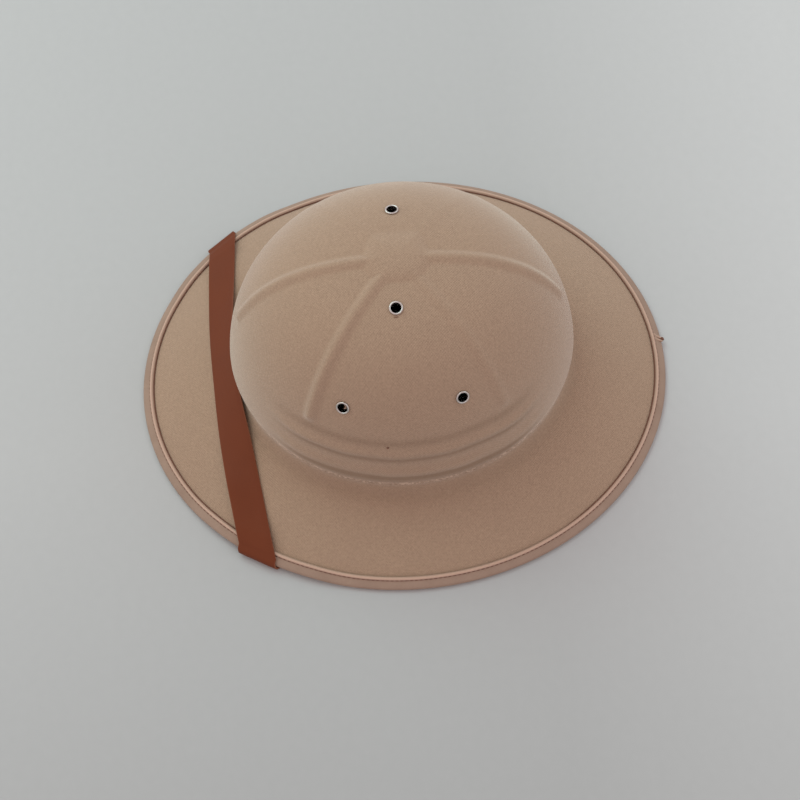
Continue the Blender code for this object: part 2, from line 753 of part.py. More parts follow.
def strap_turn(side, start):
    """Stations that turn the strap about the collar's lower edge, up onto its inner face, where it is sewn.

    The fold over the brim's edge has brought the strap's outer edge next to the crown. Here a pair is (outset
    from the crown's foot, height).
    """
    corner = Vector((-(CROWN_WALL + SEAM_GAP + COLLAR_WALL), BRIM_ROOT_HEIGHT))
    middle = (start["inner"] + start["outer"]) / 2
    begun = (start["outer"] - start["inner"]) / 2
    from_angle = plan_angle(middle)
    begin = Vector((share_at(middle) * brim_span(from_angle), middle.z))
    lean = math.asin((start["outer"].z - start["inner"].z) / STRAP_WIDTH)
    away = (corner - begin).dot(Vector((math.sin(lean), math.cos(lean))))
    slide = (corner - begin).dot(Vector((-math.cos(lean), math.sin(lean))))
    seated = STRAP_GAP * 2 + STRAP_THICKNESS / 2
    raised = corner.y - (SEAM_HEIGHT + COLLAR_HEIGHT - STRAP_WIDTH / 2)
    stations = []
    for k in range(STRAP_TURN_STATIONS + 2):
        share = min(k / STRAP_TURN_STATIONS, 1)
        run = STRAP_TURN_RUN * share
        if k > STRAP_TURN_STATIONS:
            run += STRAP_TAIL
        angle = from_angle + side * run / SEAM_HALF.y
        ease = smooth(0, 1, share)
        turn = mix(lean, math.pi / 2, ease)
        outward = Vector((math.sin(turn), math.cos(turn)))
        upward = Vector((-math.cos(turn), math.sin(turn)))
        place = corner - outward * mix(away, seated, ease) - upward * mix(slide, raised, ease)
        flat = Vector((math.sin(angle) / SEAM_HALF.x, -math.cos(angle) / SEAM_HALF.y)).normalized()

        def solid(pair):
            return Vector((flat.x * pair.x, flat.y * pair.x, pair.y))

        centre = oval(SEAM_HALF, angle).to_3d() + solid(place)
        half = solid(upward) * STRAP_WIDTH / 2
        if k == 0:
            skew = begun - half
            continue
        half = (half + skew * (1 - ease)).normalized() * STRAP_WIDTH / 2
        stations.append(station(centre - half, centre + half, -solid(outward)))
    return stations


def strap_sections(stations):
    """Rectangles across the strap, held at or above the ground."""
    rings = []
    for s in stations:
        half = s["normal"] * STRAP_THICKNESS / 2
        ring = [s["outer"] - half, s["inner"] - half, s["inner"] + half, s["outer"] + half]
        rings.append([Vector((p.x, p.y, max(p.z, 0.0))) for p in ring])
    return rings


def capped(name, rings):
    """A mesh skinned over open rings, with each end closed by one face."""
    mesh = lofted(name, rings)
    work = bmesh.new()
    work.from_mesh(mesh)
    bmesh.ops.holes_fill(work, edges=[e for e in work.edges if e.is_boundary], sides=4)
    bmesh.ops.recalc_face_normals(work, faces=work.faces)
    work.to_mesh(mesh)
    work.free()
    return mesh


def build_strap(leather, parent):
    far_end = list(reversed(strap_end(-1)))
    stations = far_end + strap_top() + strap_end(1)
    return link("chin_strap", capped("chin_strap", strap_sections(stations)), leather, parent)


def build_hat():
    for obj in list(bpy.data.objects):
        bpy.data.objects.remove(obj)
    cloth = material("khaki_cloth", (0.36, 0.26, 0.19), 0.9)
    tape = material("edge_tape", (0.37, 0.26, 0.19), 0.85)
    leather = material("brown_leathercloth", (0.17, 0.055, 0.026), 0.45)
    metal = material("nickel_plate", (0.75, 0.74, 0.72), 0.25, 1.0)
    hat = bpy.data.objects.new("hat", None)
    bpy.context.scene.collection.objects.link(hat)
    build_crown(cloth, hat)
    build_brim(cloth, hat)
    build_binding(tape, hat)
    for row in EYELET_TABLE:
        build_eyelet(row, metal, hat)
    build_strap(leather, hat)


build_hat()
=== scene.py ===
# %% [markdown]
# # A pith helmet, dressed for its photograph
#
# The hat is a shell of moulded foam under thin khaki cloth, with a wide brim, a taped edge, six metal
# eyelets and a brown strap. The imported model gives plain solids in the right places. One could only repaint
# them, but cloth, tape and strap need finer shapes, so each solid is replaced by a piece that keeps its
# form. Every length is in metres. The front faces -Y and the wearer's left is +X.

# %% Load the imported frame
import math

import bmesh
import bpy
from mathutils import Matrix, Vector, noise


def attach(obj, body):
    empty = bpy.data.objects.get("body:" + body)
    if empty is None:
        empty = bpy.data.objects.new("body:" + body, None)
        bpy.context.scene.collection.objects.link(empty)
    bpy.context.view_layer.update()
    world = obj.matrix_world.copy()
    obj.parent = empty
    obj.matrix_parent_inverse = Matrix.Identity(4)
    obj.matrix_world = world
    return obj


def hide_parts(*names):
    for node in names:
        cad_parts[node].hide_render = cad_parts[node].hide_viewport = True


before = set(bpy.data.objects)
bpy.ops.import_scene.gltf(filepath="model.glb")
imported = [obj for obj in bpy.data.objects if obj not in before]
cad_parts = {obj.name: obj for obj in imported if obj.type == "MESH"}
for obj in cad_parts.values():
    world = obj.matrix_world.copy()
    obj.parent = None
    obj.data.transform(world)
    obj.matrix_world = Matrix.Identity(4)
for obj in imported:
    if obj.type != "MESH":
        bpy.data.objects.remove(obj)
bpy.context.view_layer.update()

# %% [markdown]
# ## Colours and nodes
#
# Colours are given as sRGB hex values, as on a swatch card, and shaders work in linear light, so one
# function turns them. A finish is a small graph of nodes. Wiring each node takes several lines in Blender,
# so one helper adds a node with its settings, and another feeds a node's inputs.


# %% Turn a swatch into linear light
def linear(swatch):
    """An sRGB hex colour as linear red, green, blue and full opacity."""
    parts = [int(swatch[k : k + 2], 16) / 255 for k in (1, 3, 5)]
    return [c / 12.92 if c <= 0.04045 else ((c + 0.055) / 1.055) ** 2.4 for c in parts] + [1.0]


print("khaki #af967e is", [round(c, 3) for c in linear("#af967e")[:3]])


# %% Add a node, a finish or an object
def feed(node, inputs):
    """Sets a node's inputs: each to a number or colour, or to the socket or the node that feeds it."""
    for key, value in inputs.items():
        if isinstance(value, bpy.types.Node):
            value = value.outputs[0]
        if isinstance(value, bpy.types.NodeSocket):
            node.id_data.links.new(value, node.inputs[key])
        else:
            node.inputs[key].default_value = value


def add(tree, kind, inputs=None, **settings):
    """Adds a node. settings are its properties."""
    made = tree.nodes.new("ShaderNode" + kind)
    for name, value in settings.items():
        setattr(made, name, value)
    feed(made, inputs or {})
    return made


def new_finish(name):
    """A material with its node tree and its shader."""
    finish = bpy.data.materials.new(name)
    finish.use_nodes = True
    return finish, finish.node_tree, finish.node_tree.nodes["Principled BSDF"]


def put(name, data):
    """An object in the scene for a mesh, a lamp or a camera."""
    made = bpy.data.objects.new(name, data)
    bpy.context.scene.collection.objects.link(made)
    return made


# %% [markdown]
# ## The khaki cloth
#
# Polyester-cotton cloth, plainly woven and lightly brushed, is laminated to foam and moulded with it. To
# the eye it is matt, with a fine grain of threads, a faint mottle where the glue and heat took differently,
# and a soft bloom at grazing angles from its raised fibres, which the shader's sheen gives. Shade is
# painted into the colour: a little darker in the hollows under the flanks' folds, at the seam and round the
# crown's foot on the brim, and the sheen is turned down there too. A picture of cloth would need unwrapping.
# Instead three waves along X, Y and Z are multiplied in pairs, one pair for each way that the surface can
# face, and mixed by the squared normal. The real threads are 0.45 mm apart, too fine for this picture, so
# they are drawn 1.5 mm apart.

# %% Weave for the crown and the brim
THREAD_PITCH = 0.0015
turns = 2 * math.pi / THREAD_PITCH
khaki, tree, shader = new_finish("brushed_khaki_cloth")
place = add(tree, "TexCoord")
scaled = add(
    tree, "VectorMath", {0: place.outputs["Object"], 1: (turns, turns, turns)}, operation="MULTIPLY"
)
waves = add(tree, "VectorMath", {0: scaled}, operation="SINE")
apart = add(tree, "SeparateXYZ", {0: waves})
shifted = add(tree, "CombineXYZ", {0: apart.outputs[1], 1: apart.outputs[2], 2: apart})
crossings = add(tree, "VectorMath", {0: waves, 1: shifted}, operation="MULTIPLY")
facing = add(
    tree, "VectorMath", {0: place.outputs["Normal"], 1: place.outputs["Normal"]}, operation="MULTIPLY"
)
faced = add(tree, "SeparateXYZ", {0: facing})
shares = add(tree, "CombineXYZ", {0: faced.outputs[2], 1: faced, 2: faced.outputs[1]})
weave = add(tree, "VectorMath", {0: crossings, 1: shares}, operation="DOT_PRODUCT")
print("threads drawn", THREAD_PITCH * 1000, "mm apart")

# %% Mottle, fibres and colour of the cloth
mottle = add(tree, "TexNoise", {"Vector": place.outputs["Object"], "Scale": 26.0, "Detail": 3.0})
fibres = add(
    tree, "TexNoise", {"Vector": place.outputs["Object"], "Scale": 820.0, "Detail": 4.0, "Roughness": 0.65}
)
shade = add(tree, "Mix", {0: mottle, 6: linear("#af967e"), 7: linear("#b79e85")}, data_type="RGBA")
fleck_amount = add(tree, "MapRange", {0: fibres, 1: 0.32, 2: 0.72, 3: 0.0, 4: 1.0})
flecked = add(tree, "Mix", {0: fleck_amount, 6: linear("#a08872"), 7: shade.outputs[2]}, data_type="RGBA")
thread_amount = add(tree, "MapRange", {0: weave.outputs["Value"], 1: -1.0, 2: 1.0, 3: 0.88, 4: 1.06})
threaded = add(tree, "VectorMath", {0: flecked.outputs[2], 3: thread_amount}, operation="SCALE")

# %% Frayed seam, painted shade, roughness, sheen and bump of the cloth
fray = add(tree, "Attribute", attribute_name="fray")
tufts = add(tree, "TexNoise", {"Vector": place.outputs["Object"], "Scale": 620.0, "Detail": 2.0})
tuft_share = add(tree, "MapRange", {0: tufts, 1: 0.47, 2: 0.6, 3: 0.05, 4: 0.85})
frayed = add(tree, "Math", {0: fray.outputs["Fac"], 1: tuft_share}, operation="MULTIPLY")
cloth_colour = add(tree, "Mix", {0: frayed, 6: threaded, 7: linear("#d6c0aa")}, data_type="RGBA")
# Painted shade: the colour is scaled from 1.03 where the mark read here is 0 down to 0.86 where it is 1.
painted_shade = add(tree, "Attribute", attribute_name="painted_shade")
crease_shade = add(tree, "MapRange", {0: painted_shade.outputs["Fac"], 3: 1.03, 4: 0.86})
cloth_shaded = add(tree, "VectorMath", {0: cloth_colour.outputs[2], 3: crease_shade}, operation="SCALE")
dull = add(tree, "MapRange", {0: mottle, 1: 0.2, 2: 0.8, 3: 0.84, 4: 0.94})
relief = add(tree, "Math", {0: weave.outputs["Value"], 1: 0.35, 2: fibres}, operation="MULTIPLY_ADD")
bump = add(tree, "Bump", {"Height": relief, "Strength": 0.75, "Distance": 0.00035})
# Where shade is painted, the sheen is turned down as well.
bloom = add(tree, "MapRange", {0: painted_shade.outputs["Fac"], 3: 0.9, 4: 0.1})
feed(
    shader,
    {
        "Base Color": cloth_shaded,
        "Roughness": dull,
        "Normal": bump,
        "IOR": 1.5,
        "Specular IOR Level": 0.25,
        "Sheen Weight": bloom,
        "Sheen Roughness": 0.44,
        "Sheen Tint": linear("#f6efe2"),
    },
)
print(khaki.name, "has", len(tree.nodes), "nodes")

# %% [markdown]
# ## The bias tape
#
# The edge is bound with cotton bias tape: a strip cut across the cloth at 45 degrees, so that it curves
# without creasing. Its threads therefore run aslant. The piece carries its own lengths along and across the
# tape as attributes, and two slanted waves read them. The raised roll's top is painted paler and pinker than
# the flat band, as a painted highlight.

# %% Bias tape
TAPE_THREAD_PITCH = 0.0011
tape_cloth, tree, shader = new_finish("cotton_bias_tape")
along = add(tree, "Attribute", attribute_name="along")
across = add(tree, "Attribute", attribute_name="across")
slants = []
for operation in ("ADD", "SUBTRACT"):
    aslant = add(tree, "Math", {0: along.outputs["Fac"], 1: across.outputs["Fac"]}, operation=operation)
    turned = add(
        tree, "Math", {0: aslant, 1: 2 * math.pi / TAPE_THREAD_PITCH / math.sqrt(2)}, operation="MULTIPLY"
    )
    slants.append(add(tree, "Math", {0: turned}, operation="SINE"))
bias_weave = add(tree, "Math", {0: slants[0], 1: slants[1]}, operation="MULTIPLY")
place = add(tree, "TexCoord")
wear = add(tree, "TexNoise", {"Vector": place.outputs["Object"], "Scale": 95.0, "Detail": 5.0})
band_colour = add(tree, "Mix", {0: wear, 6: linear("#988170"), 7: linear("#ae9785")}, data_type="RGBA")
# Painted highlight: the raised roll's top, where its mark is high, is mixed toward a pale pink.
roll_highlight_mark = add(tree, "Attribute", attribute_name="roll")
roll_highlighted = add(
    tree,
    "Mix",
    {0: roll_highlight_mark.outputs["Fac"], 6: band_colour.outputs[2], 7: linear("#cdb09b")},
    data_type="RGBA",
)
thread_amount = add(tree, "MapRange", {0: bias_weave, 1: -1.0, 2: 1.0, 3: 0.9, 4: 1.06})
tape_colour = add(tree, "VectorMath", {0: roll_highlighted.outputs[2], 3: thread_amount}, operation="SCALE")
dull = add(tree, "MapRange", {0: wear, 1: 0.25, 2: 0.75, 3: 0.78, 4: 0.92})
relief = add(tree, "Math", {0: bias_weave, 1: 0.4, 2: wear}, operation="MULTIPLY_ADD")
bump = add(tree, "Bump", {"Height": relief, "Strength": 0.5, "Distance": 0.0003})
feed(
    shader,
    {
        "Base Color": tape_colour,
        "Roughness": dull,
        "Normal": bump,
        "Specular IOR Level": 0.3,
        "Sheen Weight": 0.15,
        "Sheen Roughness": 0.4,
    },
)
print(tape_cloth.name, "has", len(tree.nodes), "nodes")

# %% [markdown]
# ## Thread, leathercloth and nickel
#
# The sewing thread is dark red-brown polyester, a little shiny, with its twist showing as fine slanted
# bumps. The strap is leathercloth: polyurethane on a woven backing, pressed with a shallow grain, smooth
# and satin. Its cut edges show a paler backing. The eyelets are stamped brass with bright nickel plate.

# %% Sewing thread
sewing_thread, tree, shader = new_finish("polyester_sewing_thread")
place = add(tree, "TexCoord")
twist = add(
    tree,
    "TexWave",
    {"Vector": place.outputs["Object"], "Scale": 900.0, "Distortion": 3.0},
    bands_direction="DIAGONAL",
)
thread_colour = add(
    tree, "Mix", {0: twist.outputs["Fac"], 6: linear("#5a3424"), 7: linear("#835a44")}, data_type="RGBA"
)
gloss = add(tree, "MapRange", {0: twist.outputs["Fac"], 1: 0.0, 2: 1.0, 3: 0.6, 4: 0.75})
bump = add(tree, "Bump", {"Height": twist.outputs["Fac"], "Strength": 0.4, "Distance": 0.0001})
feed(shader, {"Base Color": thread_colour.outputs[2], "Roughness": gloss, "Normal": bump})
print(sewing_thread.name, "has", len(tree.nodes), "nodes")

# %% Leathercloth
GRAIN_SIZE = 0.0011
leathercloth, tree, shader = new_finish("brown_polyurethane_leathercloth")
place = add(tree, "TexCoord")
grain = add(
    tree,
    "TexVoronoi",
    {"Vector": place.outputs["Object"], "Scale": 1 / GRAIN_SIZE, "Randomness": 1.0},
    feature="DISTANCE_TO_EDGE",
)
clouds = add(tree, "TexNoise", {"Vector": place.outputs["Object"], "Scale": 38.0, "Detail": 4.0})
brown = add(tree, "Mix", {0: clouds, 6: linear("#6b361f"), 7: linear("#763e26")}, data_type="RGBA")
rim_mark = add(tree, "Attribute", attribute_name="rim")
edged = add(
    tree, "Mix", {0: rim_mark.outputs["Fac"], 6: brown.outputs[2], 7: linear("#94644c")}, data_type="RGBA"
)
satin = add(tree, "MapRange", {0: clouds, 1: 0.25, 2: 0.75, 3: 0.42, 4: 0.54})
bump = add(tree, "Bump", {"Height": grain, "Strength": 0.22, "Distance": 0.0003})
feed(
    shader,
    {
        "Base Color": edged.outputs[2],
        "Roughness": satin,
        "Normal": bump,
        "IOR": 1.46,
        "Specular IOR Level": 0.15,
    },
)
print(leathercloth.name, "has", len(tree.nodes), "nodes")

# %% Nickel plate
nickel, tree, shader = new_finish("bright_nickel_plate")
place = add(tree, "TexCoord")
handling = add(tree, "TexNoise", {"Vector": place.outputs["Object"], "Scale": 700.0, "Detail": 3.0})
plate = add(tree, "Mix", {0: handling, 6: linear("#b7b3ad"), 7: linear("#e2dfda")}, data_type="RGBA")
polish = add(tree, "MapRange", {0: handling, 1: 0.3, 2: 0.7, 3: 0.2, 4: 0.34})
bump = add(tree, "Bump", {"Height": handling, "Strength": 0.1, "Distance": 0.0001})
feed(shader, {"Base Color": plate.outputs[2], "Roughness": polish, "Normal": bump, "Metallic": 1.0})
print(nickel.name, "has", len(tree.nodes), "nodes")

# %% [markdown]
# ## Skins over rings
#
# Every piece here is a section carried along a line: up the dome, round the brim, along the strap. So one
# function skins a mesh over rings of points, and another turns skins into a piece of the hat. Modifiers
# could do some of it, but the rings follow the same named sizes as the solids, so the pieces land where
# they belong.


# %% Helpers for forms
def smooth(low, high, value):
    """0 below low and 1 above high, easing between them."""
    t = min(max((value - low) / (high - low), 0.0), 1.0)
    return t * t * (3 - 2 * t)


def mix(a, b, share):
    return a + (b - a) * share


def root(function, low, high):
    """The place between low and high where the function changes sign."""
    start = function(low) > 0
    for _ in range(50):
        middle = (low + high) / 2
        if (function(middle) > 0) == start:
            low = middle
        else:
            high = middle
    return (low + high) / 2


def oval(half, angle):
    """A point on an oval of those half sizes, at a plan angle from the front."""
    return Vector((half.x * math.sin(angle), -half.y * math.cos(angle)))


def oval_out(half, angle):
    """The outward direction in plan at that place of the oval."""
    return Vector((math.sin(angle) / half.x, -math.cos(angle) / half.y)).normalized()


def circle(count):
    """That many equal turns round a circle."""
    return [2 * math.pi * k / count for k in range(count)]


def bell(value, place, width):
    """1 at the place, and falling off softly over the width on both sides."""
    return math.exp(-(((value - place) / width) ** 2))


def noise_round(angle, pace, z):
    """Slow noise that joins up round the hat."""
    return noise.noise(Vector((math.sin(angle) * pace, math.cos(angle) * pace, z)))


# %% Skin rings, and make a piece
def skin(rings, start=None, end=None, closed=False, capped=False):
    """Points and faces over rings of equal count. start and end are poles; capped closes each end flat."""
    count = len(rings[0])
    points = [p for ring in rings for p in ring]
    pairs = [(k, k + 1) for k in range(len(rings) - 1)]
    if closed:
        pairs.append((len(rings) - 1, 0))
    faces = []
    for low, high in pairs:
        for i in range(count):
            j = (i + 1) % count
            faces.append((low * count + i, low * count + j, high * count + j, high * count + i))
    for pole, base in ((start, 0), (end, (len(rings) - 1) * count)):
        if pole is not None:
            points.append(pole)
            tip = len(points) - 1
            faces += [(base + i, base + (i + 1) % count, tip) for i in range(count)]
    if capped:
        faces.append(tuple(range(count)))
        faces.append(tuple(range((len(rings) - 1) * count, len(rings) * count)))
    return points, faces


def join(skins):
    """The points and faces of several skins as one."""
    points = []
    faces = []
    for skin_points, skin_faces in skins:
        faces += [[len(points) + i for i in face] for face in skin_faces]
        points += skin_points
    return points, faces


def piece(name, skins, finish, slot, *nodes):
    """One object from several skins. It rides on the hat, has a finish and stands for CAD nodes."""
    points, faces = join(skins)
    mesh = bpy.data.meshes.new(name)
    mesh.from_pydata(points, [], faces)
    work = bmesh.new()
    work.from_mesh(mesh)
    bmesh.ops.recalc_face_normals(work, faces=work.faces)
    work.to_mesh(mesh)
    work.free()
    mesh.shade_smooth()
    mesh.set_sharp_from_angle(angle=math.radians(50))
    mesh.materials.append(finish)
    made = put(name, mesh)
    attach(made, "root")
    if nodes:
        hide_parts(*nodes)
    print(name, "has", len(faces), "faces")
    return made


def mark(made, name, values):
    """Keeps a number for each point, for a finish to read."""
    layer = made.data.attributes.new(name, "FLOAT", "POINT")
    layer.data.foreach_set("value", values)


# %% [markdown]
# ## The crown
#
# The crown is one moulding: a dome with a rounded shoulder on an oval plan, drawn in at its seam. Six ribs
# run down from a low six-sided boss, some crisp and some almost smoothed out, and soft folds lie round both
# flanks, where the cloth was eased over the form. A sculpted or subdivided cage could give the dome, but
# its ribs and folds have measured places, so the height of each point is worked out: the plain dome first,
# then the relief along its normal.

# %% The crown's sizes
CROWN_HALF = Vector((0.185 / 2, 0.209 / 2))
SEAM_DRAW_IN = 0.0032
SEAM_HALF = CROWN_HALF - Vector((SEAM_DRAW_IN, SEAM_DRAW_IN))
SEAM_HEIGHT = 0.0350
DOME_HEIGHT = 0.1424 - SEAM_HEIGHT
DOME_PLAN_POWER = 2.6
DOME_HEIGHT_POWER = 2.05
DRAW_IN_HEIGHT = 0.016
CROWN_WALL = 0.003
print("dome", CROWN_HALF.x * 2000, "x", CROWN_HALF.y * 2000, "mm, rises", DOME_HEIGHT * 1000, "mm")


# %% The plain dome
def dome_point(angle, plan, height):
    """The plain dome at shares of its plan and height, and its outward normal."""
    x, y = oval(CROWN_HALF * plan, angle)
    z = SEAM_HEIGHT + DOME_HEIGHT * height
    side = DOME_PLAN_POWER * max(plan, 1e-6) ** (DOME_PLAN_POWER - 2)
    up = DOME_HEIGHT_POWER * height ** (DOME_HEIGHT_POWER - 1) / DOME_HEIGHT
    normal = Vector((side * x / CROWN_HALF.x**2, side * y / CROWN_HALF.y**2, up)).normalized()
    draw = SEAM_DRAW_IN * (1 - smooth(0, DRAW_IN_HEIGHT, z - SEAM_HEIGHT))
    flat = Vector((x, y, 0)).normalized() if plan > 1e-6 else Vector()
    return Vector((x, y, z)) - flat * draw, normal


def dome_shares(turn):
    """Shares of plan and height at a turn from the seam (0) to the top (a quarter turn)."""
    rise = math.sin(turn) ** 2
    return max(1 - rise, 0.0) ** (1 / DOME_PLAN_POWER), rise ** (1 / DOME_HEIGHT_POWER)


def dome_rings(count):
    """Shares of plan and height at equal steps of length up the side of the dome."""
    steps = 4000
    shares = [dome_shares(math.pi / 2 * k / steps) for k in range(steps + 1)]
    lengths = [0.0]
    for (plan, height), (next_plan, next_height) in zip(shares, shares[1:]):
        run = (next_plan - plan) * (CROWN_HALF.x + CROWN_HALF.y) / 2
        lengths.append(lengths[-1] + math.hypot(run, (next_height - height) * DOME_HEIGHT))
    rings = []
    k = 0
    for i in range(count):
        while lengths[k] < lengths[-1] * i / count:
            k += 1
        rings.append(shares[k])
    print("the dome's side is", round(lengths[-1] * 1000, 1), "mm long, in", count, "rings")
    return rings


# %% Ribs
RIB_ANGLES = [math.radians(a) for a in (0, 54, 126, 180, 234, 306)]
RIB_DIRECTIONS = [oval(CROWN_HALF, a).normalized() for a in RIB_ANGLES]
RIB_SHARPNESS = (1.1, 1.25, 0.5, 1.0, 0.12, 0.12)
RIB_WIDTH = 0.0108
RIB_HEIGHT = 0.0017
RIB_FOOT_HEIGHT = 0.0855
RIB_END_LENGTH = 0.006


def rib_relief(point):
    """The ribs' height over the dome: a rounded ridge that ends on the shoulder."""
    best = 0.0
    for direction, sharpness in zip(RIB_DIRECTIONS, RIB_SHARPNESS):
        off = abs(direction.x * point.y - direction.y * point.x)
        if direction.x * point.x + direction.y * point.y > 0 and off < RIB_WIDTH / 2:
            best = max(best, sharpness * math.cos(math.pi * off / RIB_WIDTH) ** 2)
    return RIB_HEIGHT * best * smooth(RIB_FOOT_HEIGHT, RIB_FOOT_HEIGHT + RIB_END_LENGTH, point.z)


# %% The boss
BOSS_LENGTH = 0.037
BOSS_WIDTH = 0.0265
BOSS_HEIGHT = 0.0030
BOSS_FLAT_ANGLE = math.radians(55)
BOSS_SLOPE_SHARE = 0.17
BOSS_SOFT_SHARE = 0.35
BOSS_CORNERS = []
for direction in RIB_DIRECTIONS:
    on_axis = abs(direction.x) < 1e-6
    reach = BOSS_LENGTH / 2 if on_axis else BOSS_WIDTH / 2 / math.sin(BOSS_FLAT_ANGLE)
    BOSS_CORNERS.append(direction * reach)


def boss_radius(direction):
    """How far the boss reaches from its centre in that plan direction."""
    for first, second in zip(BOSS_CORNERS, BOSS_CORNERS[1:] + BOSS_CORNERS[:1]):
        edge = second - first
        cross = direction.x * edge.y - direction.y * edge.x
        if abs(cross) < 1e-12:
            continue
        share = (direction.y * first.x - direction.x * first.y) / cross
        out = (first.x * edge.y - first.y * edge.x) / cross
        if out > 0 and -1e-6 <= share <= 1 + 1e-6:
            return out
    return BOSS_LENGTH / 2


def boss_relief(point):
    """The low six-sided boss: steepest at its foot, but running out softly on the wearer's right."""
    plan = point.xy
    if plan.length < 1e-6:
        return BOSS_HEIGHT
    direction = plan.normalized()
    soft = smooth(0.3, 1.0, -direction.x)
    reach = plan.length / boss_radius(direction) / (1 + BOSS_SLOPE_SHARE + BOSS_SOFT_SHARE * soft)
    return BOSS_HEIGHT * max(1 - reach ** (3 - soft), 0.0) ** (1 + 0.5 * soft)


print("boss corners (mm):", [(round(c.x * 1000, 1), round(c.y * 1000, 1)) for c in BOSS_CORNERS])

# %% Folds on the flanks
# Each fold's height over the seam, half width and depth.
FOLDS = ((0.0215, 0.0052, 0.0016), (0.0392, 0.0042, 0.0015))
FOLD_DRIFT = 0.002
# The painted shade over the upper fold, and that at the seam: height over the seam, and half width.
FLANK_SHADES = ((0.0485, 0.003), (0.008, 0.0085))
FLANK_SHADE_DEPTH = 0.8


def fold_share(angle):
    """The folds lie on the flanks and run out towards the front and the back."""
    return smooth(0.55, 0.85, abs(math.sin(angle)))


def fold_drift(angle):
    """How far the folds wander up and down."""
    return FOLD_DRIFT * noise_round(angle, 3.1, 2.0)


def fold_relief(angle, z):
    """Two soft folds that run round the flanks, uneven as eased cloth is."""
    above = z - SEAM_HEIGHT + fold_drift(angle)
    uneven = 0.9 + 0.5 * noise_round(angle, 6.0, above * 60)
    height = sum(depth * bell(above, place, width) for place, width, depth in FOLDS)
    return height * uneven * fold_share(angle)


def fold_painted_shade(angle, z):
    """How much shade is painted at a point: under each fold, over the upper fold and at the seam, from 0 to
    1.
    """
    above = z - SEAM_HEIGHT + fold_drift(angle)
    under = [bell(above, place - width, width * 0.75) for place, width, _ in FOLDS]
    ends = [FLANK_SHADE_DEPTH * bell(above, place, width) for place, width in FLANK_SHADES]
    return min(sum(under) + sum(ends), 1.0) * fold_share(angle)


# %% The frayed seam and the eyelets' dimples
EYELETS = [
    {"name": "eyelet_left_upper", "across": 0.317, "along": -0.020},
    {"name": "eyelet_left_front", "across": 0.750, "along": -0.338},
    {"name": "eyelet_left_rear", "across": 0.750, "along": 0.296},
    {"name": "eyelet_right_upper", "across": -0.370, "along": -0.005},
    {"name": "eyelet_right_front", "across": -0.845, "along": -0.318},
    {"name": "eyelet_right_rear", "across": -0.845, "along": 0.318},
]


def eyelet_frame(row):
    """Where an eyelet sits: its centre on the crown's outer face, with +Z along the outward normal."""
    plan = math.hypot(row["across"], row["along"])
    height = (1 - plan**DOME_PLAN_POWER) ** (1 / DOME_HEIGHT_POWER)
    angle = math.atan2(row["across"], -row["along"])
    point, normal = dome_point(angle, plan, height)
    return Matrix.Translation(point) @ normal.to_track_quat("Z", "Y").to_matrix().to_4x4()


EYELET_FRAMES = {row["name"]: eyelet_frame(row) for row in EYELETS}


DIMPLE_WIDTH = 0.0042
DIMPLE_DEPTH = 0.00035
TUFT_HEIGHT = 0.0006
TUFT_FULL = 0.0006
TUFT_END = 0.0019
FRAY_FULL = 0.0016
FRAY_END = 0.0034


def dimple_relief(point):
    """The cloth is pressed in a little under each eyelet."""
    deep = 0.0
    for seat in EYELET_FRAMES.values():
        away = (point - seat.translation).length
        if away < DIMPLE_WIDTH * 3:
            deep += bell(away, 0, DIMPLE_WIDTH)
    return -DIMPLE_DEPTH * deep


def seam_relief(angle, above):
    """The cloth's raw edge stands out in small tufts along the seam."""
    tuft = 0.6 + 0.9 * noise_round(angle, 70, 0.5)
    return TUFT_HEIGHT * max(tuft, 0.15) * (1 - smooth(TUFT_FULL, TUFT_END, above))


# %% Make the crown
CROWN_COLUMNS = 400
CROWN_RINGS = 176
CROWN_INSIDE_RINGS = 14
crown_angles = circle(CROWN_COLUMNS)


def crown_outer(angle, plan, height):
    point, normal = dome_point(angle, plan, height)
    above = point.z - SEAM_HEIGHT
    raised = max(rib_relief(point), boss_relief(point)) + fold_relief(angle, point.z)
    return point + normal * (raised + dimple_relief(point) + seam_relief(angle, above))


def crown_inner(angle, plan, height):
    point, normal = dome_point(angle, plan, height)
    return point - normal * CROWN_WALL


inside = list(reversed(dome_rings(CROWN_INSIDE_RINGS)))
outside = dome_rings(CROWN_RINGS)
SEAM_RING_HEIGHTS = (0.0005, 0.001, 0.0015)
seam_turns = [math.asin((h / DOME_HEIGHT) ** (DOME_HEIGHT_POWER / 2)) for h in SEAM_RING_HEIGHTS]
seam_steps = [dome_shares(turn) for turn in seam_turns]
outside[1:1] = [step for step in seam_steps if step[1] < outside[1][1]]
rings = [[crown_inner(a, *shares) for a in crown_angles] for shares in inside]
rings += [[crown_outer(a, *shares) for a in crown_angles] for shares in outside]
crown_skin = skin(rings, start=crown_inner(0, 0, 1), end=crown_outer(0, 0, 1))
crown = piece("crown_cloth", [crown_skin], khaki, "cloth", "crown")
frays = [0.0] * CROWN_COLUMNS * len(inside)
painted_shades = list(frays)
for _, height in outside:
    z = SEAM_HEIGHT + height * DOME_HEIGHT
    frays += [1 - smooth(FRAY_FULL, FRAY_END, z - SEAM_HEIGHT)] * CROWN_COLUMNS
    # Painted shade on the flanks: in the hollows under the folds, over the upper fold and at the seam.
    painted_shades += [fold_painted_shade(a, z) for a in crown_angles]
mark(crown, "fray", frays + [0.0, 0.0])
mark(crown, "painted_shade", painted_shades + [0.0, 0.0])

# %% [markdown]
# ## Holes for the eyelets
#
# Each eyelet goes through the crown. The holes are cut with a Boolean modifier, which is then applied, so
# that light is lost through them into the dark inside, as in the real hat. Black discs would be simpler,
# but from the side they would show for what they are.

# %% Lathe, and cut the holes
EYELET_STEPS = 48


def lathe(profile, steps=EYELET_STEPS):
    """Rings round the Z axis from (radius, height) pairs."""
    return [[Vector((r * math.cos(a), r * math.sin(a), z)) for a in circle(steps)] for r, z in profile]


def seated(rings, seat):
    """Rings moved to where an eyelet sits."""
    return [[seat @ p for p in ring] for ring in rings]


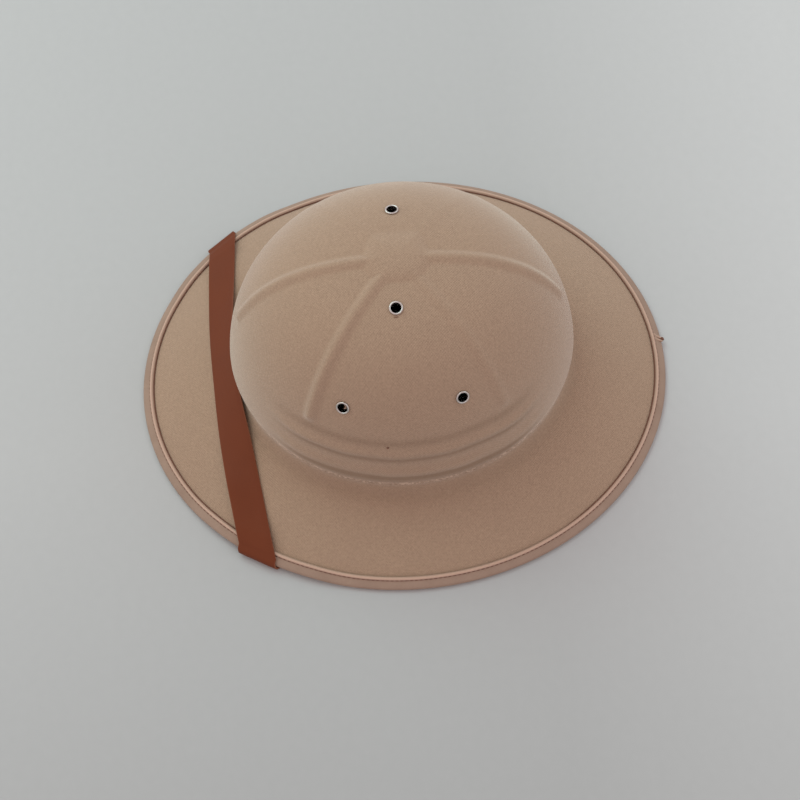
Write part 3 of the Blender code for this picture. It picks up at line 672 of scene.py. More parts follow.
PUNCH_RADIUS = 0.0032
punches = []
for row in EYELETS:
    seat = EYELET_FRAMES[row["name"]]
    punch_rings = seated(lathe([(PUNCH_RADIUS, -CROWN_WALL * 2), (PUNCH_RADIUS, CROWN_WALL)], 32), seat)
    punches.append(skin(punch_rings, capped=True))
punch_points, punch_faces = join(punches)
punch_mesh = bpy.data.meshes.new("punches")
punch_mesh.from_pydata(punch_points, [], punch_faces)
punch = put("punches", punch_mesh)
holes = crown.modifiers.new("holes", "BOOLEAN")
holes.operation = "DIFFERENCE"
holes.object = punch
holes.solver = "EXACT"
cut = bpy.data.meshes.new_from_object(crown.evaluated_get(bpy.context.evaluated_depsgraph_get()))
crown.modifiers.remove(holes)
crown.data = cut
bpy.data.objects.remove(punch)
print("the cut crown has", len(cut.polygons), "faces")

# %% [markdown]
# ## Eyelets
#
# An eyelet is a stamped tube with a rolled flange, set from outside and clenched over a washer inside. A
# torus would give the roll, but a lathed profile gives roll, throat, barrel and washer in one closed form.
# The roll stands close on the cloth, so a thin line of shade runs round it.

# %% Make the eyelets
THROAT = 0.00282
ROLL_MIDDLE = 0.00338
ROLL_RADIUS = 0.0005
ROLL_LIFT = 0.00045
BARREL_RADIUS = 0.00302
WASHER_RADIUS = 0.0036
EYELET_BACK = -(CROWN_WALL + 0.0009)
roll_turns = [math.radians(a) for a in range(200, -31, -15)]
eyelet_profile = [(THROAT, EYELET_BACK - 0.0004)]
for turn in roll_turns:
    out = ROLL_MIDDLE + ROLL_RADIUS * 1.08 * math.cos(turn)
    eyelet_profile.append((out, ROLL_LIFT + ROLL_RADIUS * math.sin(turn)))
eyelet_profile += [(BARREL_RADIUS + 0.00003, 0.00012), (BARREL_RADIUS, EYELET_BACK)]
eyelet_profile += [(WASHER_RADIUS, EYELET_BACK + 0.0001), (WASHER_RADIUS + 0.0001, EYELET_BACK - 0.0002)]
eyelet_profile.append((WASHER_RADIUS, EYELET_BACK - 0.0004))
for row in EYELETS:
    ring_skin = skin(seated(lathe(eyelet_profile), EYELET_FRAMES[row["name"]]), closed=True)
    piece(row["name"] + "_ring", [ring_skin], nickel, "plated_metal", row["name"])

# %% [markdown]
# ## The strap's line, and the edge that it lifts
#
# The strap is worn up over the front of the brim: it runs across the brim's top, leans on the crown's foot,
# folds round the bound edge at both sides and lies under the brim. Where it passes under, the edge is held
# a strap's thickness off the ground, so the brim's form depends on the strap's line, which comes first.

# %% Sizes of brim, tape and strap
BRIM_SHEET = 0.0018
BRIM_FLARE = -0.3
BRIM_EDGE_DEPTH = 0.0009
BRIM_FILLET = 0.007
COLLAR_WALL = 0.002
COLLAR_HEIGHT = 0.008
SEAM_GAP = 0.0003
TAPE_LEG = 0.0056
TAPE_GAP = 0.0003
ROLL_HEIGHT = 0.0008
ROLL_WIDTH = 0.0018
TAPE_CAVITY = BRIM_SHEET / 2 + TAPE_GAP
TAPE_RADIUS = TAPE_CAVITY + 0.001
EDGE_HALF = Vector((0.2868 / 2, 0.330 / 2)) - Vector((TAPE_RADIUS, TAPE_RADIUS))
SPAN = EDGE_HALF - SEAM_HALF
EDGE_HEIGHT = TAPE_RADIUS * math.cos(math.radians(24))
BRIM_ROOT_HEIGHT = SEAM_HEIGHT - SEAM_GAP - BRIM_FILLET - BRIM_SHEET / 2
BRIM_RISE = BRIM_ROOT_HEIGHT - EDGE_HEIGHT
STRAP_WIDTH = 0.020
STRAP_THICKNESS = 0.0014
STRAP_GAP = 0.00035
STRAP_SKEW = 0.155
STRAP_BEND = 0.030
STRAP_LEAN = math.radians(42)
STRAP_SWINGS = {1: math.radians(3), -1: 0.0}
STRAP_CREEP = 0.45
STRAP_LEAN_END = 0.62
STRAP_NARROWED = 0.86
STRAP_NARROWING_RUN = 0.060
STRAP_CROWN_GAP = 0.0019
STRAP_LIFT_REACH = 0.027
STRAP_LEANING_HALF = STRAP_WIDTH / 2 * math.cos(STRAP_LEAN)
STRAP_FRONT = -(SEAM_HALF.y + STRAP_CROWN_GAP + STRAP_LEANING_HALF + STRAP_SKEW * STRAP_BEND / 2)
print("brim rises", round(BRIM_RISE * 1000, 1), "mm; the strap's front is at y =", round(STRAP_FRONT, 4))


# %% The strap's line in plan
def strap_lean(x):
    """How far the strap leans against the crown's foot: most at the front, none at the brim's edge."""
    return STRAP_LEAN * (1 - smooth(0, STRAP_LEAN_END, abs(x) / EDGE_HALF.x))


def strap_line(x, hand=0):
    """A point of the strap in plan: on its middle line, or its edge by the crown (+1) or the other (-1)."""
    y = STRAP_FRONT + STRAP_SKEW * (x + math.hypot(x, STRAP_BEND)) / 2
    slope = STRAP_SKEW * (1 + x / math.hypot(x, STRAP_BEND)) / 2
    pulled = mix(1.0, STRAP_NARROWED, smooth(0, STRAP_NARROWING_RUN, -x))
    half = STRAP_WIDTH / 2 * math.cos(strap_lean(x)) * pulled
    return Vector((x, y)) + Vector((-slope, 1)).normalized() * half * hand


def strap_crossing(side, hand=0):
    """The plan angle where that line of the strap meets the brim's edge on one side."""

    def outside(x):
        point = strap_line(side * x, hand)
        return math.hypot(point.x / EDGE_HALF.x, point.y / EDGE_HALF.y) - 1

    point = strap_line(side * root(outside, 0.0, EDGE_HALF.x), hand)
    return math.atan2(point.x / EDGE_HALF.x, -point.y / EDGE_HALF.y)


CROSSINGS = {side: strap_crossing(side) for side in (1, -1)}
print("the strap crosses the edge at", [round(math.degrees(a), 1) for a in CROSSINGS.values()], "degrees")


def edge_lift(angle):
    """How far the strap under the brim's edge holds it off the ground."""
    plateau = STRAP_LIFT_REACH / EDGE_HALF.x
    lift = 0.0
    for crossing in CROSSINGS.values():
        away = abs((angle - crossing + math.pi) % (2 * math.pi) - math.pi)
        lift = max(lift, 1 - smooth(plateau, 2 * plateau, away))
    return (STRAP_GAP + STRAP_THICKNESS) * lift


# %% [markdown]
# ## The brim
#
# The brim is a second moulding of the same cloth-faced foam. It slopes down and out, sweeps up into the
# crown at its foot, and has a collar that stands inside the crown, where the two are glued. A lathe can't
# make it, since its width and slope differ from front to side, so each plan angle has its own section. A
# slow wave of a few tenths of a millimetre keeps the sheet from looking machined.


# %% The brim's form
def brim_span(angle):
    """The brim's width in plan at that angle."""
    return math.hypot(SPAN.x * math.sin(angle), SPAN.y * math.cos(angle))


def brim_middle(angle, share):
    """The height of the sheet's middle, from the crown's foot (share 0) to the edge (share 1)."""
    rise = BRIM_RISE * (1 - share) * (1 - BRIM_FLARE * share)
    return EDGE_HEIGHT + rise + edge_lift(angle) * share**2


def brim_slope(angle, share):
    """The angle by which the sheet falls outward."""
    fall = BRIM_RISE * (1 + BRIM_FLARE - 2 * BRIM_FLARE * share) - 2 * edge_lift(angle) * share
    return math.atan2(fall, brim_span(angle))


def fillet_height(share):
    """How much the sheet's top rises into the crown's wall, near the crown's foot."""
    away = share * (SPAN.x + SPAN.y) / 2
    if away >= BRIM_FILLET:
        return 0.0
    return BRIM_FILLET - math.sqrt(BRIM_FILLET**2 - (BRIM_FILLET - away) ** 2)


BRIM_WAVE = 0.0003


def brim_wave(angle, share):
    """The moulded sheet's slow unevenness, with none at its foot or under the tape."""
    calm = smooth(0.1, 0.35, share) * (1 - smooth(0.7, 0.9, share))
    return BRIM_WAVE * calm * noise_round(angle, 2.6, share * 1.4)


def sheet_point(angle, share, face):
    """A point on the sheet's top (face +1) or underside (-1), without the fillet."""
    slope = brim_slope(angle, share)
    plan = oval(SEAM_HALF + SPAN * share, angle)
    out = plan.normalized() * math.sin(slope) * face * BRIM_SHEET / 2
    z = brim_middle(angle, share) + math.cos(slope) * face * BRIM_SHEET / 2 + brim_wave(angle, share)
    return Vector((plan.x + out.x, plan.y + out.y, z))


def collar_point(angle, inset, height):
    plan = oval(SEAM_HALF - Vector((inset, inset)), angle)
    return Vector((plan.x, plan.y, height))


# %% Make the brim
BRIM_COLUMNS = 384
BRIM_TOP_RINGS = 40
FILLET_RINGS = 10
brim_angles = circle(BRIM_COLUMNS)
foot = SEAM_HEIGHT - SEAM_GAP
collar_out = CROWN_WALL + SEAM_GAP
collar_in = collar_out + COLLAR_WALL
collar_top = SEAM_HEIGHT + COLLAR_HEIGHT
mean_span = (SPAN.x + SPAN.y) / 2
edge_share = 1 + BRIM_EDGE_DEPTH / mean_span
fillet_share = BRIM_FILLET / mean_span
rings = [[collar_point(a, collar_out, collar_top) for a in brim_angles]]
rings.append([collar_point(a, collar_out, foot) for a in brim_angles])
for k in range(FILLET_RINGS):
    share = fillet_share * (1 - math.cos(math.pi / 2 * k / FILLET_RINGS))
    lift = Vector((0, 0, fillet_height(share)))
    rings.append([sheet_point(a, share, 1) + lift for a in brim_angles])
for k in range(BRIM_TOP_RINGS + 1):
    share = mix(fillet_share, edge_share, k / BRIM_TOP_RINGS)
    rings.append([sheet_point(a, share, 1) for a in brim_angles])
for k in range(BRIM_TOP_RINGS // 2 + 1):
    share = mix(edge_share, fillet_share / 2, k / (BRIM_TOP_RINGS // 2))
    rings.append([sheet_point(a, share, -1) for a in brim_angles])
turn_height = foot - BRIM_FILLET
rings.append([collar_point(a, collar_in * 0.6, turn_height - BRIM_SHEET / 3) for a in brim_angles])
rings.append([collar_point(a, collar_in, turn_height + BRIM_SHEET) for a in brim_angles])
rings.append([collar_point(a, collar_in, collar_top) for a in brim_angles])
brim = piece("brim_cloth", [skin(rings, closed=True)], khaki, "cloth", "brim")
# Painted shade: a band on the brim round the crown's foot, for the shade that falls there.
FOOT_SHADE_PLACE = 0.004
FOOT_SHADE_WIDTH = 0.0034
painted_shades = []
for ring in rings:
    out = (ring[0].xy.length - SEAM_HALF.y) / SPAN.y * mean_span
    painted_shades += [0.5 * bell(out, FOOT_SHADE_PLACE, FOOT_SHADE_WIDTH)] * BRIM_COLUMNS
mark(brim, "painted_shade", painted_shades)

# %% [markdown]
# ## The binding
#
# Bias tape is folded round the edge and sewn through. On the brim's top its inner side is turned under over
# a cord-like roll, and a line of stitches sinks a groove beside the roll. A curve with a bevel could follow
# the edge, but the section must lean with the brim and be pressed flat where it meets the ground, so it is
# worked out column by column, with small puckers that keep time with the stitches.


# %% The tape's section
STITCH_PITCH = 0.0029
EDGE_STEPS = 4000


def edge_lengths():
    """Lengths along the bound edge at small equal steps of plan angle."""
    lengths = [0.0]
    for k in range(EDGE_STEPS):
        a = 2 * math.pi * k / EDGE_STEPS
        b = 2 * math.pi * (k + 1) / EDGE_STEPS
        lengths.append(lengths[-1] + (oval(EDGE_HALF, b) - oval(EDGE_HALF, a)).length)
    return lengths


EDGE_LENGTHS = edge_lengths()
print("the bound edge is", round(EDGE_LENGTHS[-1] * 1000), "mm round")


def edge_angle(length):
    """The plan angle at a length along the bound edge from the front."""
    length %= EDGE_LENGTHS[-1]
    low = 0
    high = EDGE_STEPS
    while high - low > 1:
        middle = (low + high) // 2
        if EDGE_LENGTHS[middle] <= length:
            low = middle
        else:
            high = middle
    share = (length - EDGE_LENGTHS[low]) / (EDGE_LENGTHS[high] - EDGE_LENGTHS[low])
    return 2 * math.pi * (low + share) / EDGE_STEPS


def on_edge(angle, outward, up):
    """The point at that place in the section round the bound edge, at or above the ground."""
    flat = oval(EDGE_HALF, angle) + oval_out(EDGE_HALF, angle) * outward
    return Vector((flat.x, flat.y, max(brim_middle(angle, 1) + up, 0.0)))


def leaned(angle, along_sheet, off_sheet):
    """A place in the section from one along the sheet and one square to it."""
    slope = brim_slope(angle, 1)
    c = math.cos(slope)
    s = math.sin(slope)
    return along_sheet * c + off_sheet * s, off_sheet * c - along_sheet * s


ROLL_CENTRE = -TAPE_LEG + 0.0006
ROLL_HALF = 0.00115
ROLL_BASE = TAPE_CAVITY + 0.0003
ROLL_RISE = TAPE_RADIUS + ROLL_HEIGHT - ROLL_BASE
GROOVE = ROLL_CENTRE + ROLL_HALF + 0.0001
GROOVE_DEPTH = 0.00042
PUCKER = 0.00013
RIPPLE = 0.00022
ROLL_TURN = math.radians(165)
ROLL_STEPS = 11
ROLL_SLACK = 0.10
TAPE_ARC_STEPS = 18


def tape_section(angle, length):
    """The tape's section: points, and how much highlight is painted on each, most on the roll's top."""
    beat = math.cos(2 * math.pi * length / STITCH_PITCH)
    slack = noise.noise(Vector((length * 140, 3.0, 0)))
    rows = [(-TAPE_LEG, TAPE_CAVITY, 0.0)]
    for k in range(ROLL_STEPS + 1):
        turn = math.pi - ROLL_TURN * k / ROLL_STEPS
        swell = 1 + ROLL_SLACK * slack
        u = ROLL_CENTRE + ROLL_HALF * math.cos(turn)
        v = ROLL_BASE + ROLL_RISE * math.sin(turn) * swell
        rows.append((u, v, math.sin(turn)))
    pucker = PUCKER * beat
    for away, share in ((0.0000, 0.0), (0.0007, 0.55), (0.0014, 0.85), (0.0022, 1.0), (0.0030, 1.0)):
        u = GROOVE + away
        ripple = RIPPLE * noise.noise(Vector((length * 170, away * 500, 7.0))) * share
        v = mix(TAPE_RADIUS - GROOVE_DEPTH, TAPE_RADIUS, share) + ripple + pucker * (1 - share)
        rows.append((u, v, 0.0))
    section = [leaned(angle, u, v) + (roll,) for u, v, roll in rows]
    slope = brim_slope(angle, 1)
    for k in range(TAPE_ARC_STEPS + 1):
        turn = mix(math.pi - slope, -slope, k / TAPE_ARC_STEPS)
        section.append((TAPE_RADIUS * math.sin(turn), -TAPE_RADIUS * math.cos(turn), 0.0))
    inside_end = BRIM_EDGE_DEPTH + TAPE_GAP
    closing = [(-0.002, -TAPE_RADIUS), (-TAPE_LEG, -TAPE_RADIUS), (-TAPE_LEG, -TAPE_CAVITY)]
    closing += [(inside_end, -TAPE_CAVITY), (inside_end, TAPE_CAVITY)]
    return section + [leaned(angle, u, v) + (0.0,) for u, v in closing]


# %% Make the binding
TAPE_COLUMNS = 1000
columns = []
roll_highlights = []
alongs = []
acrosses = []
for k in range(TAPE_COLUMNS):
    length = EDGE_LENGTHS[-1] * k / TAPE_COLUMNS
    angle = edge_angle(length)
    section = tape_section(angle, length)
    columns.append([on_edge(angle, outward, up) for outward, up, _ in section])
    roll_highlights += [roll for _, _, roll in section]
    alongs += [length] * len(section)
    walked = 0.0
    for p, q in zip(columns[-1], columns[-1][1:] + columns[-1][:1]):
        acrosses.append(walked)
        walked += (q - p).length
binding = piece("binding_tape", [skin(columns, closed=True)], tape_cloth, "edge_tape", "brim_binding")
# The painted highlight on the roll's top.
mark(binding, "roll", roll_highlights)
mark(binding, "along", alongs)
mark(binding, "across", acrosses)

# %% [markdown]
# ## Stitches and the line inside the roll
#
# The lockstitches show as short dark dashes in the groove, each pulled down into the tape at its ends. They
# are small separate threads in one joined mesh: a bump pattern would do at this size, but real thread casts
# its own shade. Inside the roll a dark cord shows as a thin line on three sides: the seam's dark thread, and
# painted shade for the shade under the roll. It is pressed out of sight on the wearer's left, where light
# reaches under the roll.


# %% Make the stitches
def thread_skin(points, radii, steps=6):
    """A thin round skin along points, with a radius at each."""
    rings = []
    for k, point in enumerate(points):
        ahead = points[min(k + 1, len(points) - 1)] - points[max(k - 1, 0)]
        side = ahead.cross(Vector((0, 0, 1))).normalized()
        top = side.cross(ahead).normalized()
        rings.append([point + (side * math.cos(t) + top * math.sin(t)) * radii[k] for t in circle(steps)])
    return skin(rings, capped=True)


STITCH_HALF = 0.00105
STITCH_DEPTH = 0.00022
STITCH_END_DEPTH = 0.0003
STITCH_RADII = [0.00012, 0.00024, 0.00026, 0.00024, 0.00012]
stitch_count = round(EDGE_LENGTHS[-1] / STITCH_PITCH)
dashes = []
for k in range(stitch_count):
    middle = EDGE_LENGTHS[-1] * k / stitch_count
    dash = []
    for t in (-1, -0.6, 0, 0.6, 1):
        angle = edge_angle(middle + t * STITCH_HALF)
        sunk = TAPE_RADIUS - STITCH_DEPTH - STITCH_END_DEPTH * t * t
        dash.append(on_edge(angle, *leaned(angle, GROOVE, sunk)))
    dashes.append(thread_skin(dash, STITCH_RADII))
piece("binding_stitches", dashes, sewing_thread, "edge_tape")
print(stitch_count, "stitches")

# %% Make the line inside the roll
SHADE_CORD_RADIUS = 0.00042
SHADE_CORD_HIDDEN_RADIUS = 0.0002
SHADE_CORD_STEPS = 8
SHADE_CORD_OUT = 0.00075
SHADE_CORD_SLIP = 0.0010
SHADE_CORD_LIFT = 0.00045
SHADE_CORD_SINK = 0.0004
# A dark cord: the seam's thread and painted shade under the roll, thinned and sunk where light reaches in.
shade_cord_columns = []
for k in range(TAPE_COLUMNS):
    angle = edge_angle(EDGE_LENGTHS[-1] * k / TAPE_COLUMNS)
    hidden = smooth(0.72, 0.95, math.sin(angle))
    u = -TAPE_LEG - SHADE_CORD_OUT + SHADE_CORD_SLIP * hidden
    v = BRIM_SHEET / 2 + SHADE_CORD_LIFT - SHADE_CORD_SINK * hidden
    centre = on_edge(angle, *leaned(angle, u, v))
    out = oval_out(EDGE_HALF, angle).to_3d()
    radius = mix(SHADE_CORD_RADIUS, SHADE_CORD_HIDDEN_RADIUS, hidden)
    up = Vector((0, 0, 1))
    turned = circle(SHADE_CORD_STEPS)
    shade_cord_columns.append([centre + (out * math.cos(t) + up * math.sin(t)) * radius for t in turned])
piece("binding_shade_cord", [skin(shade_cord_columns, closed=True)], sewing_thread, "edge_tape")

# %% [markdown]
# ## The tape's end, a speck, a scrap and painted shade
#
# At the back the tape's end is folded over where it meets its start: two small rolled folds of cloth cross
# the band, and a dark tuft of thread ends stands out past the edge. A scrap of cloth sits in one eyelet and
# a speck clings to the flank. Under another eyelet a short dark thread is painted shade, for the shade below
# its rim. Marks painted by a finish would lie flat, so each is a small thread-like form at its own place.

# %% The tape's folded end
TAPE_TOP = EDGE_HEIGHT + TAPE_RADIUS
FOLD_ROLL_LIFT = 0.0007
FOLD_ROLL_DROP = 0.0003
TAPE_END_FOLDS = (
    ((-0.0146, 0.1596), (-0.0120, 0.1610), (-0.0112, 0.1632), (-0.0100, 0.1652)),
    ((-0.0118, 0.1594), (-0.0094, 0.1614), (-0.0089, 0.1634), (-0.0082, 0.1652)),
)
TUFT_PLACE = Vector((-0.0098, 0.1652, TAPE_TOP - 0.0001))
TUFT_STEP = Vector((-0.0011, -0.0009, 0.0))
end_folds = []
for places in TAPE_END_FOLDS:
    heights = [TAPE_TOP + FOLD_ROLL_LIFT - FOLD_ROLL_DROP * k for k in range(len(places))]
    line = [Vector((x, y, z)) for (x, y), z in zip(places, heights)]
    smoothed = [line[0], line[0].lerp(line[1], 0.6), line[1].lerp(line[2], 0.3), line[2], line[3]]
    end_folds.append(thread_skin(smoothed, [0.0003, 0.0007, 0.0008, 0.0008, 0.0005], 10))
end_piece = piece("tape_end_folds", end_folds, tape_cloth, "edge_tape")
# The folded end carries some of the roll's painted highlight.
mark(end_piece, "roll", [0.6] * len(end_piece.data.vertices))
tuft_line = [TUFT_PLACE + TUFT_STEP * k for k in (1, 0.4, -0.2, -0.8)]
tuft = thread_skin(tuft_line, [0.0004, 0.0010, 0.0011, 0.0006], 10)
piece("tape_end_tuft", [tuft], sewing_thread, "edge_tape")

# %% A speck, a scrap and painted shade under an eyelet
SCRAP_HALF = Vector((0.0016, 0.0013))
SCRAP_DEPTH = 0.0012
RIM_SHADE_OFFSET = Vector((0.0049, -0.0003, -0.0012))
SPECK_PLACE = Vector((0.0857, -0.0123, 0.0808))
front = EYELET_FRAMES["eyelet_left_front"]
scrap_line = []
for turn in (-1.2, -0.4, 0.4, 1.3):
    local = Vector((SCRAP_HALF.x * math.cos(turn), SCRAP_HALF.y * math.sin(turn), -SCRAP_DEPTH))
    scrap_line.append(front @ local)
scrap = thread_skin(scrap_line, [0.0003, 0.00065, 0.0006, 0.0003], 8)
piece("eyelet_scrap", [scrap], khaki, "cloth")
# A short dark thread under the upper eyelet: painted shade for the shade below its rim.
rim_shade_middle = EYELET_FRAMES["eyelet_left_upper"].translation + RIM_SHADE_OFFSET
rim_shade_line = [rim_shade_middle + Vector((0, y, 0)) for y in (-0.0013, -0.0005, 0.0005, 0.0013)]
speck_line = [SPECK_PLACE + Vector((0, y, 0)) for y in (-0.0006, -0.0002, 0.0002, 0.0006)]
speck_and_shade = [thread_skin(rim_shade_line, [0.0001, 0.0002, 0.0002, 0.0001])]
speck_and_shade.append(thread_skin(speck_line, [0.0002, 0.0005, 0.0005, 0.0002]))
piece("speck_and_painted_shade", speck_and_shade, sewing_thread, "cloth")

# %% [markdown]
# ## The strap
#
# The strap is one long ribbon. It is built as stations across its width, each with an inner and an outer
# edge: pulled tight over the brim's top, turned round the edge, then hung under the brim and turned up the
# collar. Cloth simulation could drape it, but a strap under tension lies on the shortest line over what it
# touches, which is quick to work out exactly.


# %% What lies over and under the strap
STRAP_UNDER_RUN = 0.058
STRAP_UNDER_STATIONS = 14
STRAP_WRAP_STATIONS = 12
STRAP_TURN_STATIONS = 16
STRAP_TURN_RUN = 0.044
STRAP_TAIL = 0.014


def share_at(point):
    """Where a plan point lies across the brim: 0 at the crown's foot, 1 at the middle of the bound edge."""

    def outside(share):
        half = SEAM_HALF + SPAN * share
        return math.hypot(point.x / half.x, point.y / half.y) - 1

    return root(outside, -0.9, 1.6)


def plan_angle(point):
    half = SEAM_HALF + SPAN * share_at(point)
    return math.atan2(point.x / half.x, -point.y / half.y)


def on_brim(point):
    """Where a plan point lies on the brim: its share, angle, slope and distance in from the edge."""
    share = share_at(point)
    angle = plan_angle(point)
    slope = brim_slope(angle, share)
    return share, angle, slope, (1 - share) * brim_span(angle) / math.cos(slope)


def support_height(point):
    """The height of what lies under the strap: the brim's top, or the tape and its roll near the edge."""
    share, angle, slope, inward = on_brim(point)
    cover = BRIM_SHEET / 2
    if inward < TAPE_LEG + ROLL_WIDTH:
        cover = TAPE_RADIUS
    if TAPE_LEG - ROLL_WIDTH * 2 < inward < TAPE_LEG + ROLL_WIDTH * 3:
        cover = TAPE_RADIUS + ROLL_HEIGHT
    return brim_middle(angle, share) + cover / math.cos(slope) + fillet_height(share)


def hung(point):
    """The strap's middle height where it lies against the brim's underside or the tape."""
    share, angle, slope, inward = on_brim(point)
    cover = TAPE_RADIUS if inward < TAPE_LEG + STRAP_UNDER_RUN / 7 else BRIM_SHEET / 2
    return brim_middle(angle, share) - (cover + STRAP_GAP * 2 + STRAP_THICKNESS / 2) / math.cos(slope)


def taut(places, heights):
    """The line of a band pulled tight over those heights: it touches the high ones and bridges the rest."""
    hull = []
    for k in range(len(places)):
        while len(hull) > 1:
            a, b = hull[-2], hull[-1]
            left = (heights[b] - heights[a]) * (places[k] - places[a])
            right = (heights[k] - heights[a]) * (places[b] - places[a])
            if left > right:
                break
            hull.pop()
        hull.append(k)
    lifted = []
    for a, b in zip(hull, hull[1:]):
        for k in range(a, b):
            share = (places[k] - places[a]) / (places[b] - places[a])
            lifted.append(mix(heights[a], heights[b], share))
    return lifted + [heights[hull[-1]]]


# %% How the strap turns round the edge
WRAP_RADIUS = TAPE_RADIUS + STRAP_GAP + STRAP_THICKNESS / 2


class EdgeWrap:
    """How the strap turns round the brim's edge on one side: aslant, so that it creeps along the edge."""

    def __init__(self, side):
        angle = CROSSINGS[side]
        self.side = side
        self.square = oval_out(EDGE_HALF, angle)
        self.out = Matrix.Rotation(STRAP_SWINGS[side], 2) @ self.square
        ends = [strap_crossing(side, hand) for hand in (1, -1)]
        under = [oval(EDGE_HALF, mix(ends[0], ends[1], k / 8)) for k in range(-1, 10)]
        self.reach = max(point.dot(self.out) for point in under)
        self.slope = brim_slope(angle, 1)
        self.height = brim_middle(angle, 1)
        self.crossing_x = {hand: self.find_crossing(hand) for hand in (1, -1)}
        x = self.crossing_x[1]
        self.step = (strap_line(x) - strap_line(x - side * 0.001)).normalized()
        self.creep = (self.step / self.step.dot(self.out) - self.out) * STRAP_CREEP

    def find_crossing(self, hand):
        def beyond(x):
            return strap_line(self.side * x, hand).dot(self.out) - self.reach

        return self.side * root(beyond, 0.0, EDGE_HALF.x * 1.2)

    def normal(self, turn):
        """The strap's face normal at that turn round the edge, 0 on the brim's top and pi underneath."""
        lean = turn + self.slope
        flat = self.out * math.sin(lean)
        return Vector((flat.x, flat.y, math.cos(lean)))

    def around(self, hand, turn):
        base = strap_line(self.crossing_x[hand], hand) + self.creep * WRAP_RADIUS * turn
        return Vector((base.x, base.y, self.height)) + self.normal(turn) * WRAP_RADIUS

    def folded_direction(self):
        """The strap's plan direction under the brim, after the fold over the edge."""
        return (self.step - self.square * 2 * self.step.dot(self.square)).normalized()


def station(inner, outer, face):
    """One cross-section of the strap: its two edges at mid thickness, and its face normal."""
    along_face = (inner - outer).normalized()
    normal = (face - along_face * face.dot(along_face)).normalized()
    return {"inner": inner, "outer": outer, "normal": normal}


# %% Stations over the brim's top
STRAP_TOP_STATIONS = 48


def strap_top():
    """Stations of the strap on the brim's top, from the -X edge to the +X edge."""
    wraps = {side: EdgeWrap(side) for side in (1, -1)}
    count = STRAP_TOP_STATIONS
    crowded = [1 - (1 - k / count) ** 1.5 for k in range(count + 1)]
    shares = [-share for share in reversed(crowded[1:])] + crowded
    lines = {1: [], -1: []}
    for hand, line in lines.items():
        for share in shares:
            wrap = wraps[1 if share > 0 else -1]
            plan = strap_line(abs(share) * wrap.crossing_x[hand], hand)
            z = support_height(plan) + STRAP_GAP + STRAP_THICKNESS / 2
            if abs(share) == 1:
                z = wrap.around(hand, 0).z
                plan = wrap.around(hand, 0).xy
            line.append(Vector((plan.x, plan.y, z)))
    rises = [STRAP_WIDTH * math.sin(strap_lean(p.x)) for p in lines[-1]]
    lows = [max(outer.z, inner.z - rise) for outer, inner, rise in zip(lines[-1], lines[1], rises)]
    lows = taut([p.x for p in lines[-1]], lows)
    stations = []
    for inner, outer, low, rise in zip(lines[1], lines[-1], lows, rises):
        inner.z = low + rise
        outer.z = low
        stations.append(station(inner, outer, Vector((0, 0, 1))))
    return stations


# %% Stations round the edge, under the brim and up the collar
def strap_end(side):
    """Stations from the brim's edge, round it, under the brim and up onto the collar's inner face."""
    wrap = EdgeWrap(side)
    stations = []
    for k in range(1, STRAP_WRAP_STATIONS + 1):
        turn = math.pi * k / STRAP_WRAP_STATIONS
        stations.append(station(wrap.around(1, turn), wrap.around(-1, turn), wrap.normal(turn)))
    start = stations[-1]
    heading = wrap.folded_direction().to_3d()
    width = start["outer"] - start["inner"]
    across = (width - heading * width.dot(heading)).normalized() * STRAP_WIDTH / 2
    middle = (start["inner"] + start["outer"]) / 2
    stop = middle + heading * STRAP_UNDER_RUN
    for k in range(1, STRAP_UNDER_STATIONS + 1):
        share = (k / STRAP_UNDER_STATIONS) ** 1.4
        inner = start["inner"].lerp(stop - across, share)
        outer = start["outer"].lerp(stop + across, share)
        inner.z = hung(inner)
        outer.z = hung(outer)
        stations.append(station(inner, outer, Vector((0, 0, -1))))
    return stations + strap_turn(side, stations[-1])


def strap_turn(side, start):
    """Stations that turn the strap about the collar's lower edge, up onto its inner face.

    Here a pair is (outset from the crown's foot, height).
    """
    corner = Vector((-(CROWN_WALL + SEAM_GAP + COLLAR_WALL), BRIM_ROOT_HEIGHT))
    middle = (start["inner"] + start["outer"]) / 2
    begun = (start["outer"] - start["inner"]) / 2
    from_angle = plan_angle(middle)
    begin = Vector((share_at(middle) * brim_span(from_angle), middle.z))
    lean = math.asin((start["outer"].z - start["inner"].z) / STRAP_WIDTH)
    away = (corner - begin).dot(Vector((math.sin(lean), math.cos(lean))))
    slide = (corner - begin).dot(Vector((-math.cos(lean), math.sin(lean))))
    seated_gap = STRAP_GAP * 2 + STRAP_THICKNESS / 2
    raised = corner.y - (SEAM_HEIGHT + COLLAR_HEIGHT - STRAP_WIDTH / 2)
    stations = []
    for k in range(STRAP_TURN_STATIONS + 2):
        share = min(k / STRAP_TURN_STATIONS, 1)
        run = STRAP_TURN_RUN * share + (STRAP_TAIL if k > STRAP_TURN_STATIONS else 0)
        angle = from_angle + side * run / SEAM_HALF.y
        ease = smooth(0, 1, share)
        turn = mix(lean, math.pi / 2, ease)
        outward = Vector((math.sin(turn), math.cos(turn)))
        upward = Vector((-math.cos(turn), math.sin(turn)))
        place = corner - outward * mix(away, seated_gap, ease) - upward * mix(slide, raised, ease)
        flat = oval_out(SEAM_HALF, angle)

        def solid(pair):
            return Vector((flat.x * pair.x, flat.y * pair.x, pair.y))

        centre = oval(SEAM_HALF, angle).to_3d() + solid(place)
        half = solid(upward) * STRAP_WIDTH / 2
        if k == 0:
            skew = begun - half
            continue
        half = (half + skew * (1 - ease)).normalized() * STRAP_WIDTH / 2
        stations.append(station(centre - half, centre + half, -solid(outward)))
    return stations


